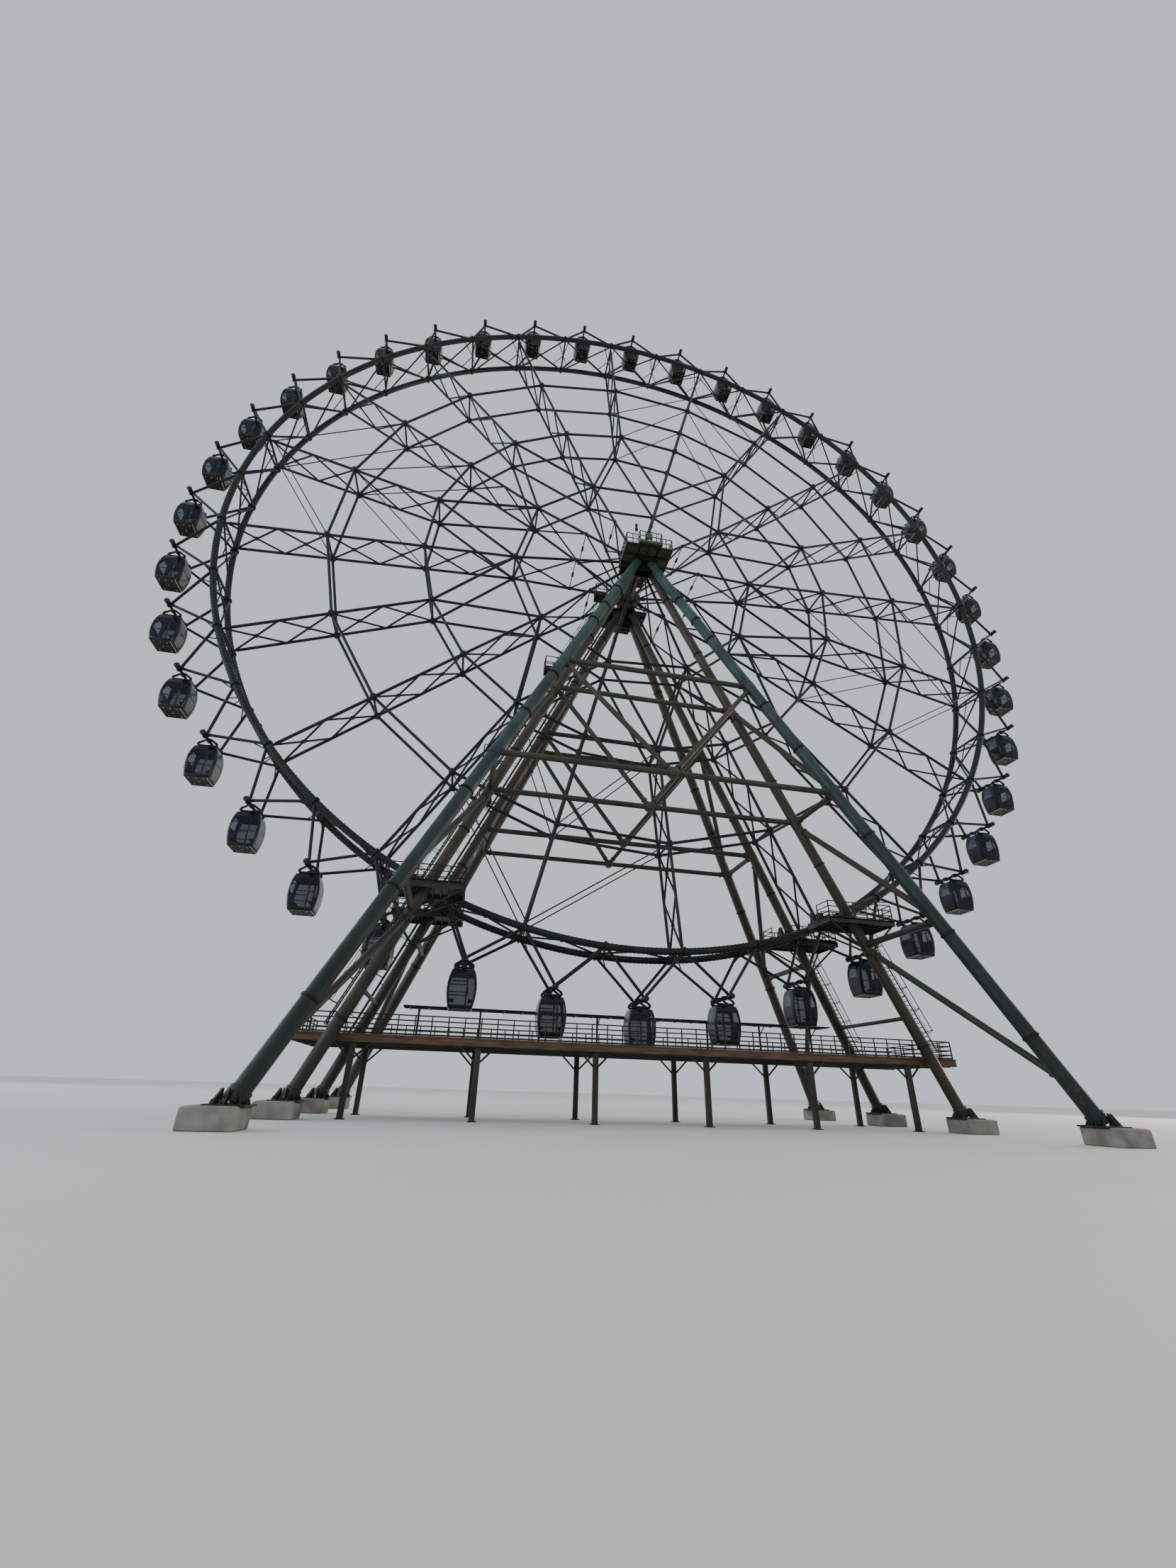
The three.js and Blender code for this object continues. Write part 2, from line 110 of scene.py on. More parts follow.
# Shader maths on one node's output
class Wire:
    def __init__(self, tree, socket=None):
        self.tree = tree
        self.socket = socket

    def plug(self, value, target):
        if isinstance(value, Wire):
            self.tree.links.new(value.socket, target)
        else:
            target.default_value = value

    def node(self, kind, inputs, output=0, **settings):
        made = self.tree.nodes.new(kind)
        for name, value in settings.items():
            setattr(made, name, value)
        for name, value in inputs.items():
            self.plug(value, made.inputs[name])
        return Wire(self.tree, made.outputs[output])

    def maths(self, operation, other, swapped=False):
        first, second = (other, self) if swapped else (self, other)
        return self.node("ShaderNodeMath", {0: first, 1: second}, operation=operation)

    def __add__(self, other):
        return self.maths("ADD", other)

    def __sub__(self, other):
        return self.maths("SUBTRACT", other)

    def __mul__(self, other):
        return self.maths("MULTIPLY", other)

    def __radd__(self, other):
        return self.maths("ADD", other, True)

    def __rsub__(self, other):
        return self.maths("SUBTRACT", other, True)

    def __rmul__(self, other):
        return self.maths("MULTIPLY", other, True)

    def ramp(self, low, high, start=0.0, end=1.0):
        ends = {"Value": self, "From Min": low, "From Max": high, "To Min": start, "To Max": end}
        return self.node("ShaderNodeMapRange", ends)

    def between(self, low, high):  # a colour, with this wire as the share of the second one
        return self.node("ShaderNodeMix", {0: self, 6: low, 7: high}, output=2, data_type="RGBA")

    def noise(self, scale, detail=4.0, stretch=(1.0, 1.0, 1.0)):
        placed = self.node("ShaderNodeMapping", {"Vector": self, "Scale": stretch})
        inputs = {"Vector": placed, "Scale": scale, "Detail": detail}
        return self.node("ShaderNodeTexNoise", inputs, output="Fac")

    def bump(self, strength, distance):
        inputs = {"Strength": strength, "Distance": distance, "Height": self}
        return self.node("ShaderNodeBump", inputs, output="Normal")

    def part(self, axis):
        return self.node("ShaderNodeSeparateXYZ", {"Vector": self}, output=axis)


def shade(red, green, blue):  # a screen colour of 0 to 255 as the shader wants it
    def linear(value):
        share = value / 255
        return share / 12.92 if share <= 0.04045 else ((share + 0.055) / 1.055) ** 2.4

    return (linear(red), linear(green), linear(blue), 1.0)


def startMaterial(name):
    made = bpy.data.materials.new(name)
    made.use_nodes = True
    return made, Wire(made.node_tree).node("ShaderNodeTexCoord", {}, output="Object")


def wired(made, sockets):  # each socket of the shader gets its wire or its plain value
    shader = made.node_tree.nodes["Principled BSDF"]
    for name, value in sockets.items():
        Wire(made.node_tree).plug(value, shader.inputs[name])
    return made


steel = {
    "patchScale": 5.0,
    "streakScale": 26.0,
    "streakStretch": (1.0, 1.0, 0.1),
    "rustScale": 34.0,
    "rustRegion": 4.0,
    "rustShare": 0.7,
    "rustTone": (98, 56, 32),
    "rustGrain": 1.5,
    "rustRoughness": 0.3,
    "streakShare": 0.5,
    "underShadeShare": 0.45,
    "roughness": 0.5,
    "spread": 0.07,
    "metallic": 0.15,
    "specular": 0.35,
    "grain": 260.0,
    "bump": 0.25,
    "bumpDistance": 0.0006,
    "lowGrime": 0.0,
    "lowFrom": 3.6,
    "lowTo": 0.6,
}


def paintedSteel(name, tone, otherTone, streakTone, shadeAndGrimeTone, **changes):
    look = steel | changes
    made, place = startMaterial(name)
    facing = place.node("ShaderNodeTexCoord", {}, output="Normal")
    patches = place.noise(look["patchScale"], 5.0).ramp(0.35, 0.66)
    streaks = place.noise(look["streakScale"], 6.0, look["streakStretch"]).ramp(0.5, 0.74)
    region = place.noise(look["rustRegion"], 3.0).ramp(0.5, 0.68)
    rust = (place.noise(look["rustScale"], 9.0).ramp(0.58, 0.7) * region) * look["rustShare"]
    # painted shade: faces that point down are darkened towards the shade tone
    below = facing.part("Z").ramp(0.3, -0.9)
    # painted shade and dirt: darker towards the ground, from lowFrom down to lowTo
    low = place.part("Z").ramp(look["lowFrom"], look["lowTo"])
    colour = patches.between(shade(*tone), shade(*otherTone))
    for share, over in (
        (streaks * look["streakShare"], streakTone),
        (below * look["underShadeShare"], shadeAndGrimeTone),
        (low * look["lowGrime"], shadeAndGrimeTone),
        (rust, look["rustTone"]),
    ):
        colour = share.between(colour, shade(*over))
    rough = patches.ramp(0.0, 1.0, *span(look["roughness"], look["spread"]))
    grain = place.noise(look["grain"], 3.0) + rust * look["rustGrain"]
    sockets = {
        "Base Color": colour,
        "Roughness": rough + rust * look["rustRoughness"],
        "Normal": grain.bump(look["bump"], look["bumpDistance"]),
        "Metallic": look["metallic"],
        "Specular IOR Level": look["specular"],
    }
    return wired(made, sockets)


# each paint's main tone and its other tone, the tone of its streaks, and the tone of its painted shade on
# downward faces and towards the ground, where there is some dirt too
# the tower's one paint as two copies: a painted-shade copy in teal grey and a painted-sunlit copy in warm
# brown
shadedTowerTones = (70, 93, 91), (51, 71, 70), (31, 41, 37), (24, 30, 25)
shadedTowerPaint = paintedSteel("shadedTowerPaint", *shadedTowerTones, lowGrime=0.85, lowFrom=4.2)
sunlitTowerTones = (84, 76, 66), (64, 61, 52), (48, 41, 33), (32, 31, 24)
sunlitTowerPaint = paintedSteel("sunlitLegPaint", *sunlitTowerTones, rustRegion=3.0, lowGrime=0.6)
wheelTones = (34, 41, 38), (26, 32, 30), (22, 24, 21), (15, 19, 17)
wheelPaint = paintedSteel("wheelPaint", *wheelTones, streakScale=40.0)
machineTones = (58, 58, 49), (47, 45, 37), (34, 31, 24), (29, 28, 20)
machinePaint = paintedSteel("machinePaint", *machineTones, roughness=0.55)
axleTones = (84, 72, 62), (66, 58, 50), (46, 40, 33), (38, 32, 26)
axlePaint = paintedSteel("axlePaint", *axleTones, rustShare=0.8)
jointTones = (28, 31, 29), (21, 25, 23), (17, 18, 16), (13, 14, 12)
jointPaint = paintedSteel("jointPaint", *jointTones, rustShare=0.4)
floorTones = (96, 102, 78), (76, 84, 60), (58, 58, 40), (44, 48, 33)
floorPaint = paintedSteel("floorPaint", *floorTones, roughness=0.6)
railTones = (46, 49, 45), (36, 39, 35), (32, 31, 26), (27, 26, 22)
railPaint = paintedSteel("railingPaint", *railTones, metallic=0.25, streakScale=60.0)

finish = {
    "scale": 16.0,
    "stretch": (1.0, 1.0, 1.0),
    "roughness": 0.5,
    "spread": 0.08,
    "grain": 140.0,
    "bump": 0.2,
    "bumpDistance": 0.001,
    "coat": 0.0,
    "coatRoughness": 0.1,
    "specular": 0.5,
}


def plainFinish(name, tone, otherTone, **changes):
    look = finish | changes
    made, place = startMaterial(name)
    mottle = place.noise(look["scale"], 5.0, look["stretch"]).ramp(0.36, 0.64)
    sockets = {
        "Base Color": mottle.between(shade(*tone), shade(*otherTone)),
        "Roughness": mottle.ramp(0.0, 1.0, *span(look["roughness"], look["spread"])),
        "Normal": place.noise(look["grain"], 4.0).bump(look["bump"], look["bumpDistance"]),
        "Specular IOR Level": look["specular"],
        "Coat Weight": look["coat"],
        "Coat Roughness": look["coatRoughness"],
    }
    return wired(made, sockets)


concrete = plainFinish("concrete", (140, 136, 128), (114, 110, 102), scale=12.0, roughness=0.85, bump=0.5)
rubberLook = {"scale": 30.0, "roughness": 0.75, "grain": 300.0, "bump": 0.4}
rubber = plainFinish("tyreRubber", (30, 30, 30), (42, 41, 39), **rubberLook)
boardLook = {"scale": 9.0, "stretch": (1.0, 8.0, 8.0), "roughness": 0.66, "bump": 0.4}
boards = plainFinish("deckBoards", (98, 69, 46), (70, 50, 34), **boardLook)
glossLook = {"roughness": 0.3, "spread": 0.06, "coat": 0.2, "specular": 0.25, "bump": 0.03}
cabinGloss = plainFinish("cabinGloss", (14, 18, 18), (8, 12, 12), **glossLook)
cabinSkirt = plainFinish("cabinSkirt", (27, 25, 20), (19, 18, 14), specular=0.2, bump=0.1)
cabinUnder = plainFinish("cabinUnder", (22, 20, 14), (14, 13, 9), roughness=0.6, specular=0.2, bump=0.15)
cabinSeat = plainFinish("cabinSeat", (58, 56, 58), (42, 42, 46), scale=30.0, roughness=0.6, grain=200.0)
trimLook = {"scale": 24.0, "roughness": 0.35, "coat": 0.3, "bump": 0.05}
cabinTrim = plainFinish("cabinTrim", (196, 182, 158), (166, 152, 132), **trimLook)
lampWhite = plainFinish("lampWhite", (200, 198, 190), (178, 176, 168), scale=20.0, roughness=0.4, bump=0.05)


def tintedGlass(name, tone, otherTone, alpha, scale=6.0):
    made, place = startMaterial(name)
    smears = place.noise(scale, 4.0, (1.0, 1.0, 0.3)).ramp(0.35, 0.7)
    sockets = {
        "Base Color": smears.between(shade(*tone), shade(*otherTone)),
        "Roughness": smears.ramp(0.0, 1.0, 0.12, 0.22),
        "Specular IOR Level": 0.35,
        "Alpha": alpha,
    }
    return wired(made, sockets)


paneGlass = tintedGlass("paneGlass", (28, 30, 48), (42, 44, 66), 0.3)
farGlass = tintedGlass("farGlass", (30, 32, 50), (44, 46, 68), 0.6)
sideGlass = tintedGlass("sideGlass", (92, 94, 124), (112, 114, 138), 0.5)
# the lower side panes as lit and shaded copies of one glass: painted shade on the -X side, painted sunlight
# on the +X side
shadedGlass = tintedGlass("shadedGlass", (20, 22, 28), (32, 34, 42), 0.9)
sunlitGlass = tintedGlass("sunlitGlass", (104, 91, 81), (138, 122, 108), 0.95, scale=5.0)
print("materials made")


# Working on one object at a time
def only(*things):
    bpy.ops.object.select_all(action="DESELECT")
    for thing in things:
        thing.select_set(True)
    bpy.context.view_layer.objects.active = things[0]


def openForEdit(thing):
    only(thing)
    bpy.ops.object.mode_set(mode="EDIT")
    bpy.ops.mesh.select_mode(type="FACE")
    bpy.ops.mesh.select_all(action="DESELECT")


def closeEdit():
    bpy.ops.object.mode_set(mode="OBJECT")


def pickFaces(thing, wanted):
    mesh = bmesh.from_edit_mesh(thing.data)
    for face in mesh.faces:
        face.select_set(wanted(face.calc_center_median(), face.normal))
    bmesh.update_edit_mesh(thing.data)


def pickPoints(thing, wanted):
    bpy.ops.mesh.select_mode(type="VERT")
    bpy.ops.mesh.select_all(action="DESELECT")
    mesh = bmesh.from_edit_mesh(thing.data)
    for point in mesh.verts:
        point.select_set(wanted(point.co))
    mesh.select_flush(True)
    bmesh.update_edit_mesh(thing.data)


def insetFaces(thing, wanted, **settings):
    openForEdit(thing)
    pickFaces(thing, wanted)
    bpy.ops.mesh.inset(**settings)
    closeEdit()


def movePoints(thing, wanted, shift=None, size=None, centre=(0, 0, 0)):
    openForEdit(thing)
    pickPoints(thing, wanted)
    if size:
        bpy.ops.transform.resize(value=size, center_override=centre)
    if shift:
        bpy.ops.transform.translate(value=shift)
    closeEdit()


def settle(thing):
    only(thing)
    bpy.ops.object.transform_apply(location=True, rotation=True, scale=True)
    return thing


def applyModifier(thing, kind, **settings):
    only(thing)
    step = thing.modifiers.new(kind.lower(), kind)
    for name, value in settings.items():
        setattr(step, name, value)
    bpy.ops.object.modifier_apply(modifier=step.name)
    return thing


def another(thing, place):
    copy = bpy.data.objects.new(thing.name, thing.data.copy())
    bpy.context.scene.collection.objects.link(copy)
    copy.data.transform(place)
    return copy


def around(thing, count, degrees):  # copies turned about the axle
    guide = bpy.data.objects.new("guide", None)
    guide.rotation_euler = (0, math.radians(degrees), 0)
    bpy.context.scene.collection.objects.link(guide)
    bpy.context.view_layer.update()
    offset = {"use_relative_offset": False, "use_object_offset": True, "offset_object": guide}
    applyModifier(thing, "ARRAY", count=count, **offset)
    bpy.data.objects.remove(guide)
    return thing


def along(thing, count, step):  # copies in a row
    offset = {"use_relative_offset": False, "use_constant_offset": True, "constant_offset_displace": step}
    return applyModifier(thing, "ARRAY", count=count, **offset)


def spread(thing, count, run):  # copies in a row, with the last one at the end of the run
    return along(thing, count, Vector(run) / (count - 1))


def painted(thing, material):
    thing.data.materials.clear()
    thing.data.materials.append(material)
    return thing


def cube(name, low, high):
    low, high = Vector(low), Vector(high)
    bpy.ops.mesh.primitive_cube_add(size=1, location=(low + high) / 2)
    thing = bpy.context.object
    thing.name = name
    thing.scale = high - low
    return settle(thing)


# Boards along a floor's edges stand out of it by the one and reach in by the other
boardOut, boardIn = 0.02, 0.06
sink = 0.01  # how far a beam reaches into the floor on it


def edgeBoard(side, half):
    return side * (half - boardIn), side * (half + boardOut)


smoothAngle = math.radians(35)


def deliver(thing, body, slot, *nodes):
    thing.data.transform(toModel)
    thing.data.name = thing.name
    only(thing)
    bpy.ops.object.shade_smooth_by_angle(angle=smoothAngle)
    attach(thing, body)
    if nodes:
        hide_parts(*nodes)
    thing.data.calc_loop_triangles()
    print(thing.name, len(thing.data.loop_triangles), "triangles")


# Tube stock has a radius of 1 and this half length: its ends keep their shape, and its middle is drawn out
stockHalf = 5.0


# The parts of one piece, in the group's paint where none is named. Blocks are given for the far side of
# the wheel, and a group on the near side mirrors them
class Group:
    def __init__(self, paint, near=1):
        self.paint = paint
        self.near = near
        self.parts = []

    def add(self, thing):
        self.parts.append(thing)
        return thing

    def strut(self, pattern, start, end, radius, paint=None):
        start, end = Vector(start), Vector(end)
        copy = another(pattern, Matrix.Scale(radius, 4))
        slack = (end - start).length / 2 - stockHalf * radius
        for point in copy.data.vertices:
            point.co.z += slack if point.co.z > 0 else -slack
        turn = (end - start).to_track_quat("Z", "Y").to_matrix().to_4x4()
        copy.data.transform(Matrix.Translation((start + end) / 2) @ turn)
        return self.add(painted(copy, paint or self.paint))

    def place(self, pattern, middle, axis, size=1, paint=None):  # a turned pattern along an axis
        turn = Vector(axis).to_track_quat("Z", "Y").to_matrix().to_4x4()
        copy = another(pattern, Matrix.Translation(Vector(middle)) @ turn @ Matrix.Scale(size, 4))
        return self.add(painted(copy, paint or self.paint))

    def block(self, name, xs, ys, zs, bevel, paint=None):  # a plate or block with eased edges
        ranges = (sorted(xs), sorted(self.near * y for y in ys), sorted(zs))
        thing = cube(name, *zip(*ranges))
        applyModifier(thing, "BEVEL", width=bevel, segments=1, limit_method="ANGLE")
        return self.add(painted(thing, paint or self.paint))

    def join(self, name):
        only(*self.parts)
        if len(self.parts) > 1:
            bpy.ops.object.join()
        self.parts[0].name = name
        return self.parts[0]


# Shapes that are only copied, and removed at the end
patterns = Group(jointPaint)


# A round pattern along Z, drawn out of a cylinder ring by ring
def turned(name, sides, profile):
    (low, first), (high, second) = profile[:2]
    bpy.ops.mesh.primitive_cylinder_add(
        vertices=sides, radius=first, depth=high - low, location=(0, 0, (low + high) / 2)
    )
    thing = settle(bpy.context.object)
    thing.name = name
    openForEdit(thing)
    pickFaces(thing, lambda middle, normal: normal.z > 0.9)
    if second != first:
        bpy.ops.transform.resize(value=(second / first, second / first, 1), center_override=(0, 0, high))
    before, radius = high, second
    for level, nextRadius in profile[2:]:
        bpy.ops.mesh.extrude_region_move(TRANSFORM_OT_translate={"value": (0, 0, level - before)})
        ratio = nextRadius / radius
        if ratio != 1:
            bpy.ops.transform.resize(value=(ratio, ratio, 1), center_override=(0, 0, level))
        before, radius = level, nextRadius
    closeEdit()
    return patterns.add(thing)


def turnedEven(name, sides, half, reach=0.0):  # the same both ways from the middle
    up = [(reach + level, radius) for level, radius in half]
    return turned(name, sides, [(-level, radius) for level, radius in reversed(up)] + up)


def stock(name, sides, end):  # the tube's end, measured inwards
    return turnedEven(name, sides, [(-step, radius) for step, radius in reversed(end)], stockHalf)


plainStock = stock("plainTube", 12, [(0.0, 0.78), (0.12, 1.0)])
neckEnd = [(0.0, 0.62), (0.9, 0.7), (1.9, 1.0), (1.9, 1.16), (2.3, 1.16), (2.3, 1.0)]
neckStock = stock("neckedTube", 12, neckEnd)
flangePair = [(3.2, 1.0), (3.2, 1.32), (3.42, 1.32), (3.5, 1.26), (3.58, 1.32), (3.8, 1.32), (3.8, 1.0)]
flangeStock = stock("flangedTube", 20, [(0.0, 1.0)] + flangePair)
rodStock = stock("rod", 8, [(0.0, 0.8), (0.2, 1.0)])
forkStock = stock("forkedRod", 8, [(0.0, 1.6), (2.6, 1.8), (3.0, 1.0)])
smallStock = stock("railTube", 6, [(0.0, 0.8), (0.15, 1.0)])
toeStock = stock("toeBoard", 4, [(0.0, 0.9), (0.1, 1.0)])
toeStock.data.transform(Matrix.Rotation(math.radians(45), 4, "Z") @ Matrix.Diagonal((1, 0.2, 1, 1)))
nodeDrum = turnedEven("nodeDrum", 16, [(0.3, 1.0), (0.62, 0.95), (0.9, 0.72), (1.0, 0.5)])
crossJoint = turnedEven("crossJoint", 8, [(0.6, 1.0), (0.75, 0.85)])
anchorNut = turned("anchorNut", 6, [(0.0, 0.06), (0.07, 0.06), (0.07, 0.03), (0.15, 0.03), (0.16, 0.02)])
print("tube stock made")

# Rim: two rings with rib bands, cross posts and X bracing, and the brackets that the cabins hang on
rim = {
    "ringTube": 0.24,
    "ringSides": 16,
    "ringSteps": 6,
    "ribTube": 0.26,
    "ribWidth": 0.07,
    "ribsPerBay": 18,
    "flangeTube": 0.34,
    "flangeWidth": 0.16,
    "postTube": 0.1,
    "braceTube": 0.075,
    "crossing": 0.14,
    "bracketTube": 0.105,
    "kneeTube": 0.045,
    "kneeShare": 0.28,
    "apexRadius": 38.6,
    "apexOffset": 1.27,
    "knob": [
        (1.14, 0.15), (1.16, 0.21), (1.21, 0.21), (1.21, 0.18),
        (1.68, 0.18), (1.7, 0.2), (1.76, 0.19), (1.78, 0.14),
    ],
    "shaftTube": 0.097,
    "shaftHalf": 1.2,
}


def ringTube(y):
    start = onWheel(wheel["rimRadius"], wheel["restTurn"] - bay / 2, y)
    bpy.ops.mesh.primitive_circle_add(vertices=rim["ringSides"], radius=rim["ringTube"])
    thing = bpy.context.object
    outward, axle = Vector((start.x, 0, start.z)).normalized(), Vector((0, 1, 0))
    turn = Matrix((outward, axle, outward.cross(axle))).transposed().to_4x4()
    thing.data.transform(Matrix.Translation(start) @ turn)
    openForEdit(thing)
    bpy.ops.mesh.select_mode(type="VERT")
    bpy.ops.mesh.select_all(action="SELECT")
    bpy.ops.mesh.spin(steps=rim["ringSteps"], angle=math.radians(bay), center=(0, 0, 0), axis=axle)
    closeEdit()
    around(thing, wheel["cabins"], bay)
    openForEdit(thing)
    bpy.ops.mesh.select_all(action="SELECT")
    bpy.ops.mesh.remove_doubles(threshold=0.001)
    bpy.ops.mesh.normals_make_consistent(inside=False)
    closeEdit()
    return painted(thing, wheelPaint)


def ringBand(name, sides, radius, width):  # a short sleeve around a ring's tube
    half = width / 2
    return turnedEven(name, sides, [(half - 0.001, radius), (half, rim["ringTube"] * 0.9)])


def makeRimRings():
    rings, ribs = Group(wheelPaint), Group(wheelPaint)
    rib = ringBand("rib", 10, rim["ribTube"], rim["ribWidth"])
    for y in (-wheel["ringOffset"], wheel["ringOffset"]):
        rings.add(ringTube(y))
        for step in range(rim["ribsPerBay"]):
            angle = wheel["restTurn"] + bay * ((step + 0.5) / rim["ribsPerBay"] - 0.5)
            ribs.place(rib, onWheel(wheel["rimRadius"], angle, y), onWheel(1, angle + 90))
    rings.add(around(ribs.join("ribs"), wheel["cabins"], bay))
    return rings.join("rimRings")


def makeRimBays():
    group = Group(wheelPaint)
    turn, offset, posts = wheel["restTurn"], wheel["ringOffset"], wheel["postRadius"]
    before, after = span(turn, bay / 2)
    group.strut(neckStock, onWheel(posts, after, -offset), onWheel(posts, after, offset), rim["postTube"])
    for side in (-1, 1):
        ends = onWheel(posts, before, -side * offset), onWheel(posts, after, side * offset)
        group.strut(plainStock, *ends, rim["braceTube"])
    crossing = onWheel(posts * math.cos(math.radians(bay / 2)), turn)
    group.place(nodeDrum, crossing, onWheel(1, turn), rim["crossing"])
    flange = ringBand("spliceFlange", 20, rim["flangeTube"], rim["flangeWidth"])
    knob = turned("knob", 16, rim["knob"])
    for side in (-1, 1):
        apex = onWheel(rim["apexRadius"], turn, side * rim["apexOffset"])
        for degrees in (before, after):
            foot = onWheel(wheel["rimRadius"], degrees, side * offset)
            group.strut(neckStock, foot, apex, rim["bracketTube"])
            knee = foot.lerp(apex, rim["kneeShare"])
            group.strut(rodStock, onWheel(posts, degrees), knee, rim["kneeTube"])
        group.place(knob, onWheel(wheel["pivotRadius"], turn), (0, side, 0))
        group.place(flange, onWheel(wheel["rimRadius"], after, side * offset), onWheel(1, after + 90))
    ends = [onWheel(wheel["pivotRadius"], turn, y) for y in span(0, rim["shaftHalf"])]
    group.strut(plainStock, *ends, rim["shaftTube"], machinePaint)
    return around(group.join("rimBracing"), wheel["cabins"], bay)


deliver(makeRimRings(), "wheel", "wheel_paint", "rim")
deliver(makeRimBays(), "wheel", "wheel_paint", "rim")
print("rim done")

# Spokes: two planes of tubes with drums at their nodes and X bracing between the planes. Every second
# spoke runs on to the hub, where its two tubes spread apart and a rod with a turnbuckle holds them
spokes = {
    "chordTube": 0.12,
    "postTube": 0.095,
    "braceTube": 0.08,
    "tieTube": 0.05,
    "rodTube": 0.045,
    "drum": 0.27,
    "smallDrum": 0.17,
    "joint": 0.15,
    "rod": 5.95,
    "buckle": [(0.1, 0.12), (0.25, 0.1), (0.3, 0.05)],
    "rimEnd": 35.3,
}


def chordY(radius):  # how far a spoke's tubes stand from the wheel's middle plane
    reach = max(0, wheel["innerNodes"] - radius) / (wheel["innerNodes"] - wheel["hubRing"])
    return wheel["chordOffset"] + (wheel["hubOffset"] - wheel["chordOffset"]) * reach


# An X between the planes in each bay, with a joint where its bars meet
def addCrossBays(group, levels, degrees):
    for low, high in zip(levels, levels[1:]):
        lowY, highY = chordY(low), chordY(high)
        for side in (-1, 1):
            ends = onWheel(low, degrees, side * lowY), onWheel(high, degrees, -side * highY)
            group.strut(plainStock, *ends, spokes["braceTube"])
        crossing = low + (high - low) * lowY / (lowY + highY)
        group.place(crossJoint, onWheel(crossing, degrees), onWheel(1, degrees + 90), spokes["joint"])


def makeSpokeUnit():
    # two neighbouring spokes, the first of them with an inner node, and all that ties them to the next two
    before, first, second, third = (wheel["firstSpoke"] + wheel["spokeStep"] * index for index in range(4))
    outer, middle, inner = (wheel[name] for name in ("outerNodes", "middleNodes", "innerNodes"))
    hubEnd, end, rod, offset = wheel["hubRing"], spokes["rimEnd"], spokes["rod"], wheel["chordOffset"]
    nodes = ((outer, first), (outer, second), (middle, first), (middle, second), (inner, first))
    chains = (
        [(radius, first) for radius in (hubEnd, inner, middle, outer, end)],
        [(inner, first), (middle, second), (outer, second), (end, second)],
        [(inner, first), (middle, before)],
        [(outer, degrees) for degrees in (first, second, third)],
        [(middle, degrees) for degrees in (first, second, third)],
        [(inner, first), (inner, third)],
    )
    group = Group(wheelPaint)
    for side in (-1, 1):
        for chain in chains:
            spots = [onWheel(radius, degrees, side * chordY(radius)) for radius, degrees in chain]
            for low, high in zip(spots, spots[1:]):
                group.strut(neckStock, low, high, spokes["chordTube"])
        for node in nodes:
            group.place(nodeDrum, onWheel(*node, side * offset), (0, 1, 0), spokes["drum"])
    for node in nodes:
        group.strut(neckStock, onWheel(*node, -offset), onWheel(*node, offset), spokes["postTube"])
    for degrees in (first, second):
        addCrossBays(group, (middle, (middle + outer) / 2, outer, (outer + end) / 2, end), degrees)
    addCrossBays(group, (hubEnd, rod, inner, (inner + middle) / 2, middle), first)
    ends = [onWheel(rod, first, side * chordY(rod)) for side in (-1, 1)]
    group.strut(forkStock, *ends, spokes["rodTube"])
    for spot in ends:
        group.place(crossJoint, spot, (0, 1, 0), spokes["smallDrum"])
    group.place(turnedEven("turnbuckle", 10, spokes["buckle"]), onWheel(rod, first), (0, 1, 0))
    return around(group.join("spokeLattice"), 10, 2 * wheel["spokeStep"])


def makeQuarterTies():
    # beside every fifth spoke, thin ties run to its neighbours
    group = Group(wheelPaint)
    braced, outer = wheel["firstSpoke"] + 4 * wheel["spokeStep"], wheel["outerNodes"]
    for y in (-wheel["chordOffset"], wheel["chordOffset"]):
        for beside in span(braced, wheel["spokeStep"]):
            for high, low in ((spokes["rimEnd"] - 0.2, outer), (outer, wheel["middleNodes"])):
                group.strut(forkStock, onWheel(high, braced, y), onWheel(low, beside, y), spokes["tieTube"])
    return around(group.join("quarterTies"), 4, 90)


spokeNodes = ["spokes_left", "spokes_top", "spokes_right", "spokes_bottom"]
deliver(makeSpokeUnit(), "wheel", "wheel_paint", *spokeNodes)
deliver(makeQuarterTies(), "wheel", "wheel_paint", *spokeNodes)
print("spokes done")

# Hub: a long axle with a bolted ring near each end, and a junction box on its side
hub = {
    "axleTube": 0.445,
    "axleHalf": 4.0,
    "drumTube": 0.53,
    "ring": 1.35,
    "ringFrom": 2.08,
    "ringTo": 2.32,
    "boltRing": 0.78,
    "web": 0.07,
    "webs": 10,
    "bolts": 20,
    "lug": (1.1, 1.85),
    "box": ((0.12, 0.95), (-0.65, 0.35), (-0.4, 0.6)),
}


